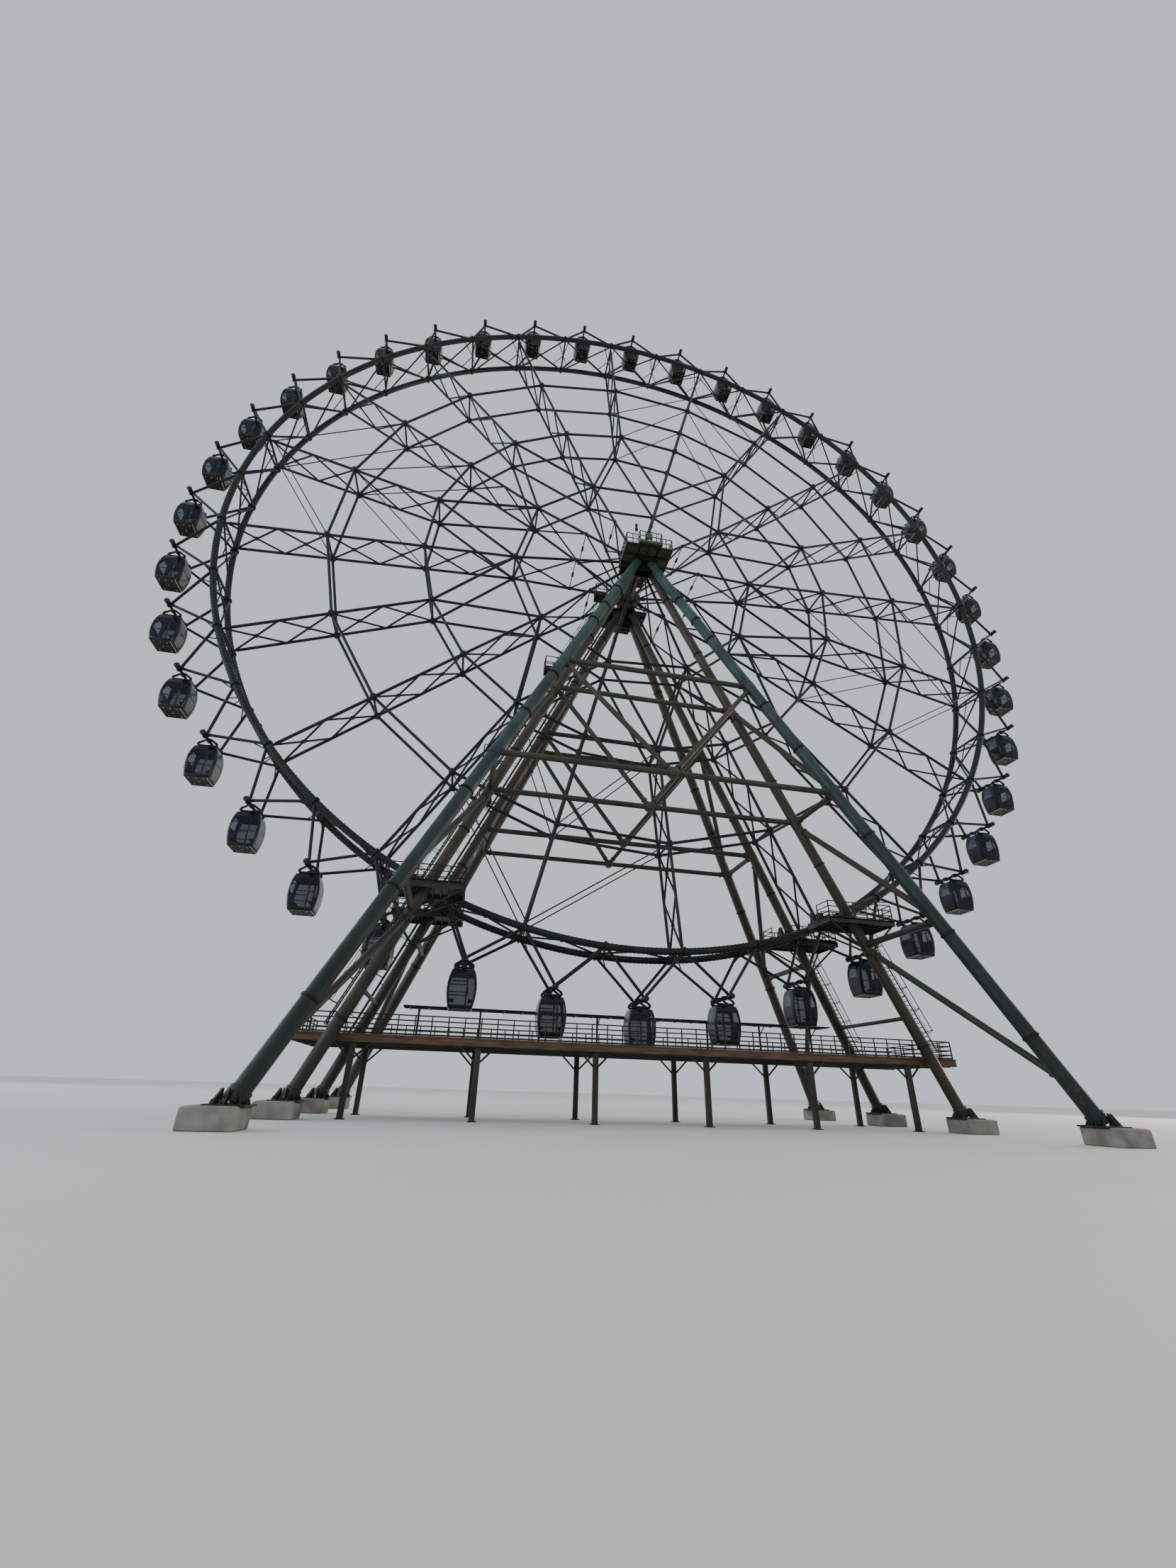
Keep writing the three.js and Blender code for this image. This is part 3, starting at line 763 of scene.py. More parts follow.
def makeHub():
    start, end, ring, drum = (hub[name] for name in ("ringFrom", "ringTo", "ring", "drumTube"))
    inner, outer, seat, tube = start + hub["web"], end - hub["web"], ring - 0.36, hub["axleTube"]
    profile = [(0.3, drum), (start - 0.3, drum), (start - 0.25, drum * 1.3), (inner, drum * 1.3)]
    profile += [(inner, seat), (start, seat), (start, ring), (end, ring), (end, seat), (outer, seat)]
    profile += [(outer, drum * 1.15), (end + 0.08, drum * 1.1), (end + 0.1, tube)]
    profile += [(hub["axleHalf"] - 0.12, tube), (hub["axleHalf"], tube - 0.12)]
    group = Group(axlePaint)
    group.place(turnedEven("axle", 40, profile), (0, 0, 0), (0, 1, 0))
    bolt = turned("hubBolt", 6, [(0.0, 0.05), (0.08, 0.05), (0.09, 0.04)])
    bolts, webs, lugs = Group(axlePaint), Group(axlePaint), Group(wheelPaint)
    for side in (-1, 1):
        bolts.place(bolt, (0, side * outer, -hub["boltRing"]), (0, side, 0))
        ys = side * inner, side * (start - 0.5)
        web = webs.block("hubWeb", (-0.03, 0.03), ys, (0.4 - ring, 0.05 - drum), 0.01)
        movePoints(web, lambda co: co.z < -0.8 and abs(co.y) < start - 0.3, shift=(0, 0, 0.4))
        ys = side * (start - 0.05), side * (end + 0.05)
        lugs.block("hubLug", (-0.1, 0.1), ys, [-level for level in hub["lug"]], 0.02)
    group.add(around(bolts.join("hubBolts"), hub["bolts"], 360 / hub["bolts"]))
    group.add(around(webs.join("hubWebs"), hub["webs"], 360 / hub["webs"]))
    lug = lugs.join("hubLugs")
    lug.data.transform(Matrix.Rotation(math.radians(wheel["firstSpoke"] + wheel["spokeStep"]), 4, "Y"))
    group.add(around(lug, 10, 2 * wheel["spokeStep"]))
    box = group.block("junctionBox", *hub["box"], 0.04, jointPaint)
    sides = {"thickness": 0.05, "depth": -0.015, "use_individual": True}
    insetFaces(box, lambda middle, normal: abs(normal.x) > 0.9 or normal.z < -0.9, **sides)
    strap = turnedEven("axleStrap", 24, [(0.04, drum + 0.05), (0.05, drum)])
    low, high = hub["box"][1]
    for y in (low + 0.12, high - 0.12):
        group.place(strap, (0, y, 0), (0, 1, 0), 1, jointPaint)
    return group.join("hubAxle")


deliver(makeHub(), "wheel", "machinery", "axle")
print("hub done")

# Cabin: a barrel-sided shell with corner posts, panes, benches and a looped hanger
cabin = {
    "levels": [  # the height below the shaft, and how far the shell stands out along X and along Y
        (-0.56, 0.72, 0.7),
        (-0.8, 0.82, 0.755),
        (-1.05, 0.885, 0.775),
        (-1.4, 0.94, 0.79),
        (-1.75, 0.955, 0.795),
        (-2.1, 0.935, 0.79),
        (-2.45, 0.885, 0.78),
        (-2.7, 0.825, 0.765),
        (-2.84, 0.785, 0.755),
        (-2.95, 0.745, 0.74),
    ],
    "cornerFrom": 0.6,
    "cornerBevel": 0.12,
    "stile": 0.36,  # where the door's stile stands across the front and the back
    "sidePane": 0.57,
    "sideShares": (0.5, 0.6, 0.76, 0.94, 1.0, 1.0, 0.88, 0.72, 0.62, 0.5),
    "wall": 0.045,
    "pane": 0.012,
    "frame": 0.085,
    "paneTop": -0.8,
    "paneMiddle": -1.75,
    "paneFoot": -2.84,
    "rails": (-1.3, -1.98),
    "railTube": 0.032,
    "lamp": 0.045,
    "lamps": ((-0.46, -0.5), (0.0, -0.5), (0.46, -0.5), (0.0, 0.06), (-0.43, 0.5), (0.43, 0.5)),
}


def barrel():
    levels, side, touching = cabin["levels"], cabin["sidePane"], 1e-4
    (top, topX, topY), bottom = levels[0], levels[-1][0]
    thing = cube("cabinShell", (-topX, -topY, bottom), (topX, topY, top))

    def cut(spot, way):
        bpy.ops.mesh.select_all(action="SELECT")
        bpy.ops.mesh.bisect(plane_co=spot, plane_no=way)

    openForEdit(thing)
    for level, _, _ in levels[1:-1]:
        cut((0, 0, level), (0, 0, 1))
    for level, halfX, halfY in levels[1:]:
        pickPoints(thing, lambda co: abs(co.z - level) < touching)
        bpy.ops.transform.resize(value=(halfX / topX, halfY / topY, 1), center_override=(0, 0, level))
    cut((cabin["stile"], 0, 0), (1, 0, 0))
    for y in (side, -side):
        cut((0, y, 0), (0, 1, 0))
    for (level, _, _), share in zip(levels, cabin["sideShares"]):
        pickPoints(thing, lambda co: abs(co.z - level) < touching and abs(abs(co.y) - side) < touching)
        bpy.ops.transform.resize(value=(1, share, 1), center_override=(0, 0, level))
    bpy.ops.mesh.select_mode(type="EDGE")
    bpy.ops.mesh.select_all(action="DESELECT")
    mesh = bmesh.from_edit_mesh(thing.data)
    for edge in mesh.edges:
        one, other = (point.co for point in edge.verts)
        corner = all(min(abs(co.x), abs(co.y)) > cabin["cornerFrom"] for co in (one, other))
        edge.select_set(corner and abs(one.z - other.z) > touching)
    bmesh.update_edit_mesh(thing.data)
    bpy.ops.mesh.bevel(offset=cabin["cornerBevel"], segments=2, affect="EDGES")
    closeEdit()
    return thing


def cutPane(group, shell, wanted, glass):  # the shell keeps a frame around the pane
    openForEdit(shell)
    pickFaces(shell, wanted)
    bpy.ops.mesh.inset(thickness=cabin["frame"], use_boundary=True)
    bpy.ops.mesh.separate(type="SELECTED")
    closeEdit()
    pane = next(thing for thing in bpy.context.selected_objects if thing != shell)
    applyModifier(pane, "SOLIDIFY", thickness=cabin["pane"], offset=-1)
    group.add(painted(pane, glass))


def addShell(group):
    shell = barrel()
    top, middle, foot = cabin["paneTop"], cabin["paneMiddle"], cabin["paneFoot"]
    # the lower side panes carry painted shade on the -X side and painted sunlight on the +X side
    for side, doorGlass, lowGlass in ((-1, paneGlass, shadedGlass), (1, farGlass, sunlitGlass)):

        def onDoor(co, normal):
            return normal.y * side > 0.9 and half * (co.x - 0.3) > 0 and foot < co.z < top

        def onSide(co, normal):
            return normal.x * side > 0.9 and abs(co.y) < 0.2 and low < co.z < high

        for half in (-1, 1):
            cutPane(group, shell, onDoor, doorGlass)
        for low, high, glass in ((middle, top, sideGlass), (foot, middle, lowGlass)):
            cutPane(group, shell, onSide, glass)
    painted(shell, cabinGloss)
    shell.data.materials.append(cabinSkirt)
    for face in shell.data.polygons:
        if face.center.z < foot:
            face.material_index = 1
    group.add(applyModifier(shell, "SOLIDIFY", thickness=cabin["wall"], offset=-1))


def addFittings(group):
    # a stepped roof, rails across the door panes, benches, and the floor pan with its lamps, strips and skids
    roof = group.block("roofPan", (-0.64, 0.64), (-0.62, 0.62), (-0.58, -0.52), 0.03, cabinGloss)
    insetFaces(roof, lambda middle, normal: normal.z > 0.9, thickness=0.12, depth=0.025)
    floor, stile = cabin["levels"][-1][0], cabin["stile"]
    width, zs = span(0, 0.66), (floor - 0.035, floor + 0.01)
    pan = group.block("floorPan", width, width, zs, 0.015, cabinUnder)
    insetFaces(pan, lambda middle, normal: normal.z < -0.9, thickness=0.07, depth=-0.012)
    lamp = turned("floorLamp", 8, [(-0.02, 0.8), (0.0, 1.0), (0.5, 1.0)])
    for x, y in cabin["lamps"]:
        group.place(lamp, (x, y, floor - 0.03), (0, 0, 1), cabin["lamp"], cabinTrim)
    for side in (-1, 1):
        for level in cabin["rails"]:
            ends = (-0.88, side * 0.78, level), (stile, side * 0.78, level)
            group.strut(smallStock, *ends, cabin["railTube"], cabinGloss)
        ys = side * 0.78, side * 0.84
        group.block("doorLock", (stile - 0.08, stile + 0.06), ys, (-1.92, -1.68), 0.02, shadedTowerPaint)
        xs = side * 0.69, side * 0.735
        group.block("edgeStrip", xs, (-0.7, 0.7), (floor - 0.03, floor + 0.005), 0.008, cabinTrim)
        ys = side * 0.67, side * 0.73
        group.block("skid", (-0.7, 0.7), ys, (floor - 0.05, floor + 0.01), 0.01, cabinGloss)
        back = side * 0.88
        group.block("benchSeat", (side * 0.45, back), (-0.68, 0.68), (-2.46, -2.38), 0.03, cabinSeat)
        group.block("benchBack", (side * 0.8, back), (-0.68, 0.68), (-2.4, -1.9), 0.025, cabinSeat)


hanger = {
    "tube": 0.08,
    "loop": [(0.17, 0.05), (0.56, -0.22), (0.6, -0.33), (0.53, -0.42)],  # the corners of its right half
    "y": 0.52,
    "foot": (0.4, -0.4, -0.6, 0.05),  # the place along X, the two ends and the tube
    "cross": (0.58, -0.33, 0.04),  # the place along X, the level and the tube
}


def addHanger(group):
    elbow = turnedEven("elbow", 8, [(0.5, 0.96), (0.9, 0.6)])
    collar = turnedEven("hangerCollar", 14, [(0.08, 0.16), (0.1, 0.12)])
    footX, footTop, footEnd, footTube = hanger["foot"]
    crossX, crossLevel, crossTube = hanger["cross"]
    loop = hanger["loop"] + [(-x, z) for x, z in reversed(hanger["loop"])]
    for y in span(0, hanger["y"]):
        corners = [Vector((x, y, z)) for x, z in loop]
        for start, end in zip(corners, corners[1:] + corners[:1]):
            group.strut(smallStock, start, end, hanger["tube"])
            group.place(elbow, start, (0, 1, 0), hanger["tube"] * 1.1)
        group.place(collar, (0, y, 0), (0, 1, 0))
        for x in (-footX, footX):
            group.strut(smallStock, (x, y, footTop), (x, y, footEnd), footTube)
    for x in (-crossX, crossX):
        ends = [(x, y, crossLevel) for y in span(0, hanger["y"])]
        group.strut(smallStock, *ends, crossTube)


cabinParts = Group(jointPaint)
addShell(cabinParts)
addFittings(cabinParts)
addHanger(cabinParts)
cabinModel = patterns.add(cabinParts.join("cabinModel"))
for index in range(wheel["cabins"]):
    hangPoint = onWheel(wheel["pivotRadius"], wheel["restTurn"] + bay * index)
    node = f"cabin_{index + 1:02d}"
    copy = another(cabinModel, Matrix.Translation(hangPoint))
    copy.name = f"hangingCabin{index + 1:02d}"
    deliver(copy, node + "_body", "cabin_shell", node)
print("cabins done")

# Tower: on each side an outer and an inner pair of round legs, with beams, a V and side braces
tower = {
    "spread": 0.445,
    "outer": {
        "top": 3.24,
        "lean": 0.2229,
        "tube": 0.4,
        "collars": (-6.2, -8.8, -11.0, -18.0, -22.0, -28.9, -35.4, -41.0),
    },
    "inner": {
        "top": 2.98,
        "lean": 0.027,
        "tube": 0.36,
        "collars": (-5.0, -10.6, -16.9, -22.4, -28.9, -35.2, -41.0),
    },
    "legTop": -1.45,
    "legFoot": -45.05,
    "headShare": 1.12,
    "footShare": 1.18,
    "beamTube": 0.2,
    "veeTube": 0.18,
    "braceTube": 0.2,
    "braceStep": 0.32,
    "upperBeam": -16.15,
    "lowerBeam": -25.7,
    "lowLink": -34.6,
    "footBrace": -43.2,
    "lowTie": -39.3,
    "tieTube": 0.13,
    "node": 0.36,
    "gusset": 1.05,
}
legBand = turnedEven("legBand", 32, [(0.88, 1.05), (0.9, 0.99)])
legCollar = turnedEven("legCollar", 32, [(0.09, 1.17), (0.1, 1.06), (0.24, 1.06), (0.26, 1.0)])


def onLeg(leg, left, near, level):
    return Vector((left * tower["spread"] * -level, near * (leg["top"] - leg["lean"] * level), level))


def addLeg(group, leg, left):  # one leg with a wider head and foot, and its collars
    top, foot = (onLeg(leg, left, group.near, tower[end]) for end in ("legTop", "legFoot"))
    length, radius = (top - foot).length, leg["tube"]
    head, base = radius * tower["headShare"], radius * tower["footShare"]
    profile = [(0.0, base), (0.5, base), (0.56, radius)]
    profile += [(length - 0.3, radius), (length - 0.3, head), (length, head)]
    group.place(turned("legTube", 32, profile), foot, top - foot)
    # the collars' dark joint paint stands for dirt in their rings and for painted shade there
    for level in leg["collars"]:
        group.place(legCollar, onLeg(leg, left, group.near, level), top - foot, radius, jointPaint)


# Feet: a plinth, and on it a base plate with nuts and ribs around the leg
plinth = {
    "half": 1.0,
    "height": 0.8,
    "plateHalf": 0.78,
    "plate": 0.09,
    "nuts": 12,
    "nutRing": 0.66,
    "ribs": 8,
    "rib": ((0.36, 0.74), (-0.025, 0.025), (0, 0.55)),
}
footRib = patterns.block("footRib", *plinth["rib"], 0.008)
movePoints(footRib, lambda co: co.x > 0.6 and co.z > 0.4, shift=(-0.3, 0, 0))


def addFoot(group, leg, left):
    half, plateHalf, level = plinth["half"], plinth["plateHalf"], plinth["height"] - hubHeight
    foot, seat = (onLeg(leg, left, 1, height) for height in (-hubHeight, level))
    pad = group.block("plinth", span(foot.x, half), span(foot.y, half), (-hubHeight, level), 0.05, concrete)
    insetFaces(pad, lambda middle, normal: normal.z > 0.9, thickness=0.12, depth=0.04)
    top = level + plinth["plate"]
    group.block("basePlate", span(seat.x, plateHalf), span(seat.y, plateHalf), (level, top), 0.015)
    middle = Vector((seat.x, group.near * seat.y, top))
    for index in range(plinth["nuts"]):
        turn = math.radians(360 / plinth["nuts"] * (index + 0.5))
        spot = middle + Vector((math.cos(turn), math.sin(turn), 0)) * plinth["nutRing"]
        group.place(anchorNut, spot, (0, 0, 1), 1, railPaint)
    for index in range(plinth["ribs"]):
        turn = Matrix.Rotation(math.radians(360 / plinth["ribs"] * index), 4, "Z")
        group.add(painted(another(footRib, Matrix.Translation(middle) @ turn), group.paint))


def addHeadGusset(group, leg):  # the plate between the heads of a pair of legs
    top, foot = tower["legTop"], tower["legTop"] - tower["gusset"]
    plate = group.block("headGusset", (-0.45, 0.45), (-0.05, 0.05), (foot, top), 0.01, jointPaint)
    shift = (0, group.near * leg["lean"] * (top - foot), 0)
    movePoints(plate, lambda co: co.z < (top + foot) / 2, shift, (1.6, 1, 1), (0, 0, foot))
    plate.data.transform(Matrix.Translation((0, onLeg(leg, 0, group.near, top).y, 0)))


def addLegFrame(group, leg):
    near, upper, lower = group.near, tower["upperBeam"], tower["lowerBeam"]
    for left in (-1, 1):
        addLeg(group, leg, left)
        addFoot(group, leg, left)
    middle = onLeg(leg, 0, near, lower)
    for level in (upper, lower):
        ends = [onLeg(leg, left, near, level) for left in (-1, 1)]
        group.strut(flangeStock, *ends, tower["beamTube"], sunlitTowerPaint)
    for left in (-1, 1):
        group.strut(flangeStock, onLeg(leg, left, near, upper - 0.1), middle, tower["veeTube"], sunlitTowerPaint)
        run = onLeg(leg, left, near, 1) - onLeg(leg, left, near, 0)
        for level in (upper, lower):  # a doubler band where the beams land on the leg
            group.place(legBand, onLeg(leg, left, near, level), run, leg["tube"])
    group.place(nodeDrum, middle, (0, 1, 0), tower["node"], sunlitTowerPaint)
    addHeadGusset(group, leg)


def addSideBraces(group):
    low, up, link = tower["lowerBeam"], tower["upperBeam"], tower["lowLink"]
    foot, step = tower["footBrace"], tower["braceStep"]
    levels = ((low, low), (link, link), (low + step, up), (link + step, low - step), (foot, link - step))
    for left in (-1, 1):
        for outerLevel, innerLevel in levels:
            start = onLeg(tower["outer"], left, group.near, outerLevel)
            end = onLeg(tower["inner"], left, group.near, innerLevel)
            group.strut(flangeStock, start, end, tower["braceTube"], sunlitTowerPaint)


def addLowTies(group):
    for left in (-1, 1):
        ends = [onLeg(tower["inner"], left, near, tower["lowTie"]) for near in (-1, 1)]
        group.strut(flangeStock, *ends, tower["tieTube"])


# Railings of posts and rails, with a toe board
railing = {"height": 1.1, "postTube": 0.042, "railTube": 0.038, "pitch": 0.95, "toe": 0.075, "toeLevel": 0.08}


def addRailing(group, corners, height=railing["height"], levels=3, pitch=railing["pitch"]):
    lift, toe = Vector((0, 0, height)), Vector((0, 0, railing["toeLevel"]))
    corners = [Vector(corner) for corner in corners]
    for start, end in zip(corners, corners[1:]):
        posts = max(1, round((end - start).length / pitch))
        post = group.strut(smallStock, start, start + lift, railing["postTube"], railPaint)
        spread(post, posts + 1, end - start)
        for index in range(levels):
            rise = lift * (1 - index / levels)
            group.strut(smallStock, start + rise, end + rise, railing["railTube"], railPaint)
        group.strut(toeStock, start + toe, end + toe, railing["toe"], railPaint)


# Ladders with a cage, up the outside of an inner leg
ladder = {
    "from": -41.6,
    "to": -2.1,
    "gauge": 0.24,
    "rung": 0.3,
    "standOff": 0.55,
    "stringer": 0.045,
    "rungTube": 0.027,
    "holdTube": 0.025,
    "holdFrom": 0.8,
    "holdStep": 3,
    "holdRoom": 1,
    "cageFrom": 1.2,
    "cageStep": 1.5,
    "cageReach": 0.72,
    "cageWiden": 0.08,
    "cageSteps": 8,
    "cageRoom": 1.4,
    "hoopTube": 0.023,
    "barTube": 0.02,
}


def addLadder(group, left, near, high):
    leg, gauge, cageStep = tower["inner"], ladder["gauge"], ladder["cageStep"]
    start, end = (onLeg(leg, left, near, level) for level in (ladder["from"], high))
    length, run = (end - start).length, (end - start).normalized()
    out = (Vector((left, 0, 0)) - run * run.x * left).normalized()
    side = run.cross(out)
    line = start + out * ladder["standOff"]
    holds, hoop = Group(railPaint), Group(railPaint)
    for way in (-1, 1):
        offset = side * (way * gauge)
        group.strut(smallStock, line + offset, end + out * ladder["standOff"] + offset, ladder["stringer"])
        onTheLeg = start + out * leg["tube"] * 0.9 + side * way * gauge / 2
        holds.strut(smallStock, onTheLeg, line + offset, ladder["holdTube"])
    rung = group.strut(smallStock, line - side * gauge, line + side * gauge, ladder["rungTube"])
    rung.data.transform(Matrix.Translation(run * ladder["rung"] / 2))
    along(rung, int(length / ladder["rung"]), run * ladder["rung"])
    hold = group.add(holds.join("ladderHold"))
    hold.data.transform(Matrix.Translation(run * ladder["holdFrom"]))
    along(hold, int((length - ladder["holdRoom"]) / ladder["holdStep"]) + 1, run * ladder["holdStep"])
    arc = []
    for index in range(ladder["cageSteps"] + 1):
        turn = math.pi * index / ladder["cageSteps"]
        across = side * (gauge + ladder["cageWiden"]) * math.cos(turn)
        away = out * ladder["cageReach"] * math.sin(turn)
        arc.append(line + run * ladder["cageFrom"] + (across + away))
    for first, second in zip(arc, arc[1:]):
        hoop.strut(smallStock, first, second, ladder["hoopTube"])
    hoops = int((length - ladder["cageRoom"]) / cageStep)
    along(group.add(hoop.join("ladderHoop")), hoops + 1, run * cageStep)
    for spot in arc[2:-2:2]:
        group.strut(smallStock, spot, spot + run * cageStep * hoops, ladder["barTube"])


# Landings to rest on beside the long ladders, each with a railing on three sides
landing = {
    "levels": (-5.5, -14.4, -23.3),
    "reach": (0.8, 1.85),
    "depth": (-0.85, 0.12),
    "plate": 0.06,
    "slats": 6,
    "slat": 0.07,
    "slatDepth": 0.12,
    "inset": 0.05,
    "foot": 1.1,
    "braceTube": 0.05,
    "strutTube": 0.04,
}


def addLanding(group, left, level):
    heights = level, level - landing["foot"]
    spot, foot = (onLeg(tower["inner"], left, group.near, height) for height in heights)
    inner, outer = (spot.x + left * reach for reach in landing["reach"])
    start, end = (abs(spot.y) + step for step in landing["depth"])
    plate, slat, inset = level - landing["plate"], landing["slat"], landing["inset"]
    group.block("landingPlate", (inner, outer), (start, end), (plate, level), 0.012, floorPaint)
    zs = (plate - landing["slatDepth"], plate + sink)
    rib = group.block("landingRib", (inner, outer), (start, start + slat), zs, 0.01, jointPaint)
    spread(rib, landing["slats"], (0, group.near * (end - start - slat), 0))
    for y in (start, end):
        corner = (outer, group.near * y, plate - inset)
        group.strut(smallStock, spot - Vector((0, 0, 0.1)), corner, landing["braceTube"], jointPaint)
        group.strut(smallStock, foot, corner, landing["strutTube"], jointPaint)
    inner, outer = inner + left * inset, outer - left * inset
    walk = [(inner, end - inset), (outer, end - inset), (outer, start + inset), (inner, start + inset)]
    addRailing(group, [(x, group.near * y, level) for x, y in walk], levels=2)


# Hub platforms: floors on ribs with the middle of the front standing forward, railings, a small mast, and a
# landing under the corner where the ladder comes up
platform = {
    "level": -1.15,
    "plate": 0.06,
    "under": 0.17,
    "edge": 0.24,
    "lip": 0.03,
    "halfX": 2.1,
    "from": 2.6,
    "to": 5.45,
    "bayHalfX": 1.03,
    "bayTo": 5.9,
    "ribsFrom": 4.3,
    "slatsFrom": 3.2,
    "ribPitch": 0.2,
    "rib": 0.08,
    "slat": 0.11,
    "beams": (-0.85, 0.0, 0.85),
    "railing": 1.09,
    "railPitch": 0.45,
    "railInset": 0.04,
    "mast": (-1.2, 5.42),
    "mastPole": 1.5,
    "mastTube": 0.06,
    "mastHead": [
        (-0.05, 0.06), (0.0, 0.12), (0.12, 0.15), (0.32, 0.13), (0.4, 0.06),
        (0.48, 0.08), (0.62, 0.13), (0.78, 0.12), (0.9, 0.05),
    ],
    "boxX": (-0.5, 0.1),
    "boxZ": (0.18, 0.76),
    "saddle": ((-1.15, 1.15), (2.7, 4.15), (-1.5, -1.3)),
}
step = {
    "xs": (-2.1, -1.3),
    "ys": (2.7, 3.5),
    "drop": 0.7,
    "slats": 5,
    "slat": 0.06,
    "hand": 0.4,
    "postTube": 0.035,
    "railTube": 0.025,
}


def addPlatformFloor(group):
    level, halfX, start, end = (platform[name] for name in ("level", "halfX", "from", "to"))
    plate, under, edge = (level - platform[name] for name in ("plate", "under", "edge"))
    ribsFrom, slatsFrom = platform["ribsFrom"], platform["slatsFrom"]
    bayX, bayTo = platform["bayHalfX"], platform["bayTo"]
    rib, pitch, lip, seat = platform["rib"], platform["ribPitch"], level + platform["lip"], plate + sink
    for xs, ys in (((-halfX, halfX), (start, end)), ((-bayX, bayX), (end, bayTo))):
        group.block("floorPlate", xs, ys, (plate, level), 0.015)
    for xs, ys in (((-halfX, halfX), (ribsFrom, end)), ((-bayX, bayX), (end, bayTo))):
        width = xs[1] - xs[0] - rib
        count = round(width / pitch)
        first = group.block("rib", (xs[0], xs[0] + rib), ys, (under, seat), 0.012)
        spread(first, count + 1, (width, 0, 0))
    count = round((ribsFrom - start) / pitch)
    slat = group.block("slat", (-halfX, halfX), (start, start + platform["slat"]), (under, seat), 0.012)
    along(slat, count, Vector((0, group.near * (ribsFrom - start) / count, 0)))
    for x in platform["beams"]:
        group.block("longBeam", span(x, 0.05), (start, end), (edge, plate), 0.015, jointPaint)
    for side in (-1, 1):
        group.block("endBeam", edgeBoard(side, halfX), (start, end), (edge, lip), 0.015)
    for y, foot in ((start, edge), (slatsFrom, edge - 0.08), (ribsFrom, edge - 0.08), (end - 0.08, edge)):
        group.block("crossBeam", (-halfX, halfX), (y, y + 0.12), (foot, plate), 0.015, jointPaint)
    group.block("legSaddle", *platform["saddle"], 0.04, jointPaint)
    for side in (-1, 1):
        group.block("bayEnd", edgeBoard(side, bayX), (end, bayTo), (edge, lip), 0.015)
    group.block("bayFront", (-bayX, bayX), edgeBoard(1, bayTo), (edge, lip), 0.015)


def addStepLanding(group):  # the landing under the platform's corner
    xs, (start, end), under = step["xs"], step["ys"], platform["level"] - platform["edge"]
    floor, slat, rail = under - step["drop"], step["slat"], under - step["drop"] + step["hand"]
    group.block("landingFloor", xs, (start, end), (floor, floor + 0.06), 0.012, jointPaint)
    zs = (floor - 0.08, floor + sink)
    first = group.block("landingSlat", xs, (start, start + slat), zs, 0.01, jointPaint)
    spread(first, step["slats"], (0, group.near * (end - start - slat), 0))
    start, end = group.near * start, group.near * end
    for x in xs:
        for y in (start, end):
            group.strut(smallStock, (x, y, floor), (x, y, under), step["postTube"], jointPaint)
    for x in xs:
        group.strut(smallStock, (x, start, rail), (x, end, rail), step["railTube"], jointPaint)


def addHubPlatform(group):
    near, level, inset = group.near, platform["level"], platform["railInset"]
    halfX, bayX = platform["halfX"] - inset, platform["bayHalfX"] - inset
    back, edge, front = platform["from"] + inset, platform["to"] - inset, platform["bayTo"] - inset
    addPlatformFloor(group)
    walk = [(-halfX, back), (-halfX, edge), (-bayX, edge), (-bayX, front)]
    walk += [(-x, y) for x, y in reversed(walk)]
    corners = [(x, near * y, level) for x, y in walk]
    addRailing(group, corners, platform["railing"], 2, platform["railPitch"])
    mastX, mastY = platform["mast"]
    foot, head = (Vector((mastX, near * mastY, z)) for z in (level, level + platform["mastPole"]))
    group.strut(smallStock, foot, head, platform["mastTube"], lampWhite)
    group.place(turned("mastHead", 12, platform["mastHead"]), head, (0, 0, 1), 1, jointPaint)
    ys = platform["bayTo"] - 0.06, platform["bayTo"] + 0.1
    zs = [level + z for z in platform["boxZ"]]
    box = group.block("switchBox", platform["boxX"], ys, zs, 0.02, shadedTowerPaint)
    insetFaces(box, lambda middle, normal: normal.y * near > 0.9, thickness=0.05, depth=0.015)
    addStepLanding(group)


# Bearings: a split housing on a saddle around the axle
bearing = {
    "halfX": 0.75,
    "from": 2.5,
    "to": 3.85,
    "bore": 0.47,
    "shell": 0.64,
    "band": 0.72,
    "lug": 0.65,
    "bolt": 0.66,
}


def addBearing(group):
    start, end, halfX, base = bearing["from"], bearing["to"], bearing["halfX"], platform["level"] + 0.01
    bore, shell, band, middle = bearing["bore"], bearing["shell"], bearing["band"], (start + end) / 2

    def addNut(x, y, z):
        group.place(anchorNut, (x, group.near * y, z), (0, 0, 1), 1, railPaint)

    group.block("bearingSole", (-halfX, halfX), (start, end), (base, base + 0.14), 0.03)
    xs, ys = span(0, halfX * 0.85), (start + 0.1, end - 0.1)
    saddle = group.block("bearingSaddle", xs, ys, (base + 0.12, -0.42), 0.05)
    movePoints(saddle, lambda co: co.z > -0.6, size=(0.8, 1, 1))
    profile = [(-0.2, band), (-0.16, shell), (-0.05, shell), (0.0, shell - 0.06), (0.0, bore)]
    sleeve = turnedEven("bearingHousing", 36, profile, (end - start) / 2)
    group.place(sleeve, (0, group.near * middle, 0), (0, 1, 0))
    for side in (-1, 1):
        x = side * bearing["lug"]
        group.block("bearingLug", span(x, 0.09), (start + 0.2, end - 0.2), (-0.13, 0.13), 0.03)
        for y in (start + 0.35, middle, end - 0.35):
            addNut(x, y, 0.12)
        for y in (start + 0.12, end - 0.12):
            addNut(side * bearing["bolt"], y, base + 0.13)
    for x in (-0.4, 0, 0.4):
        group.block("saddleRib", span(x, 0.03), (start + 0.02, end - 0.02), (base + 0.13, -0.62), 0.01)


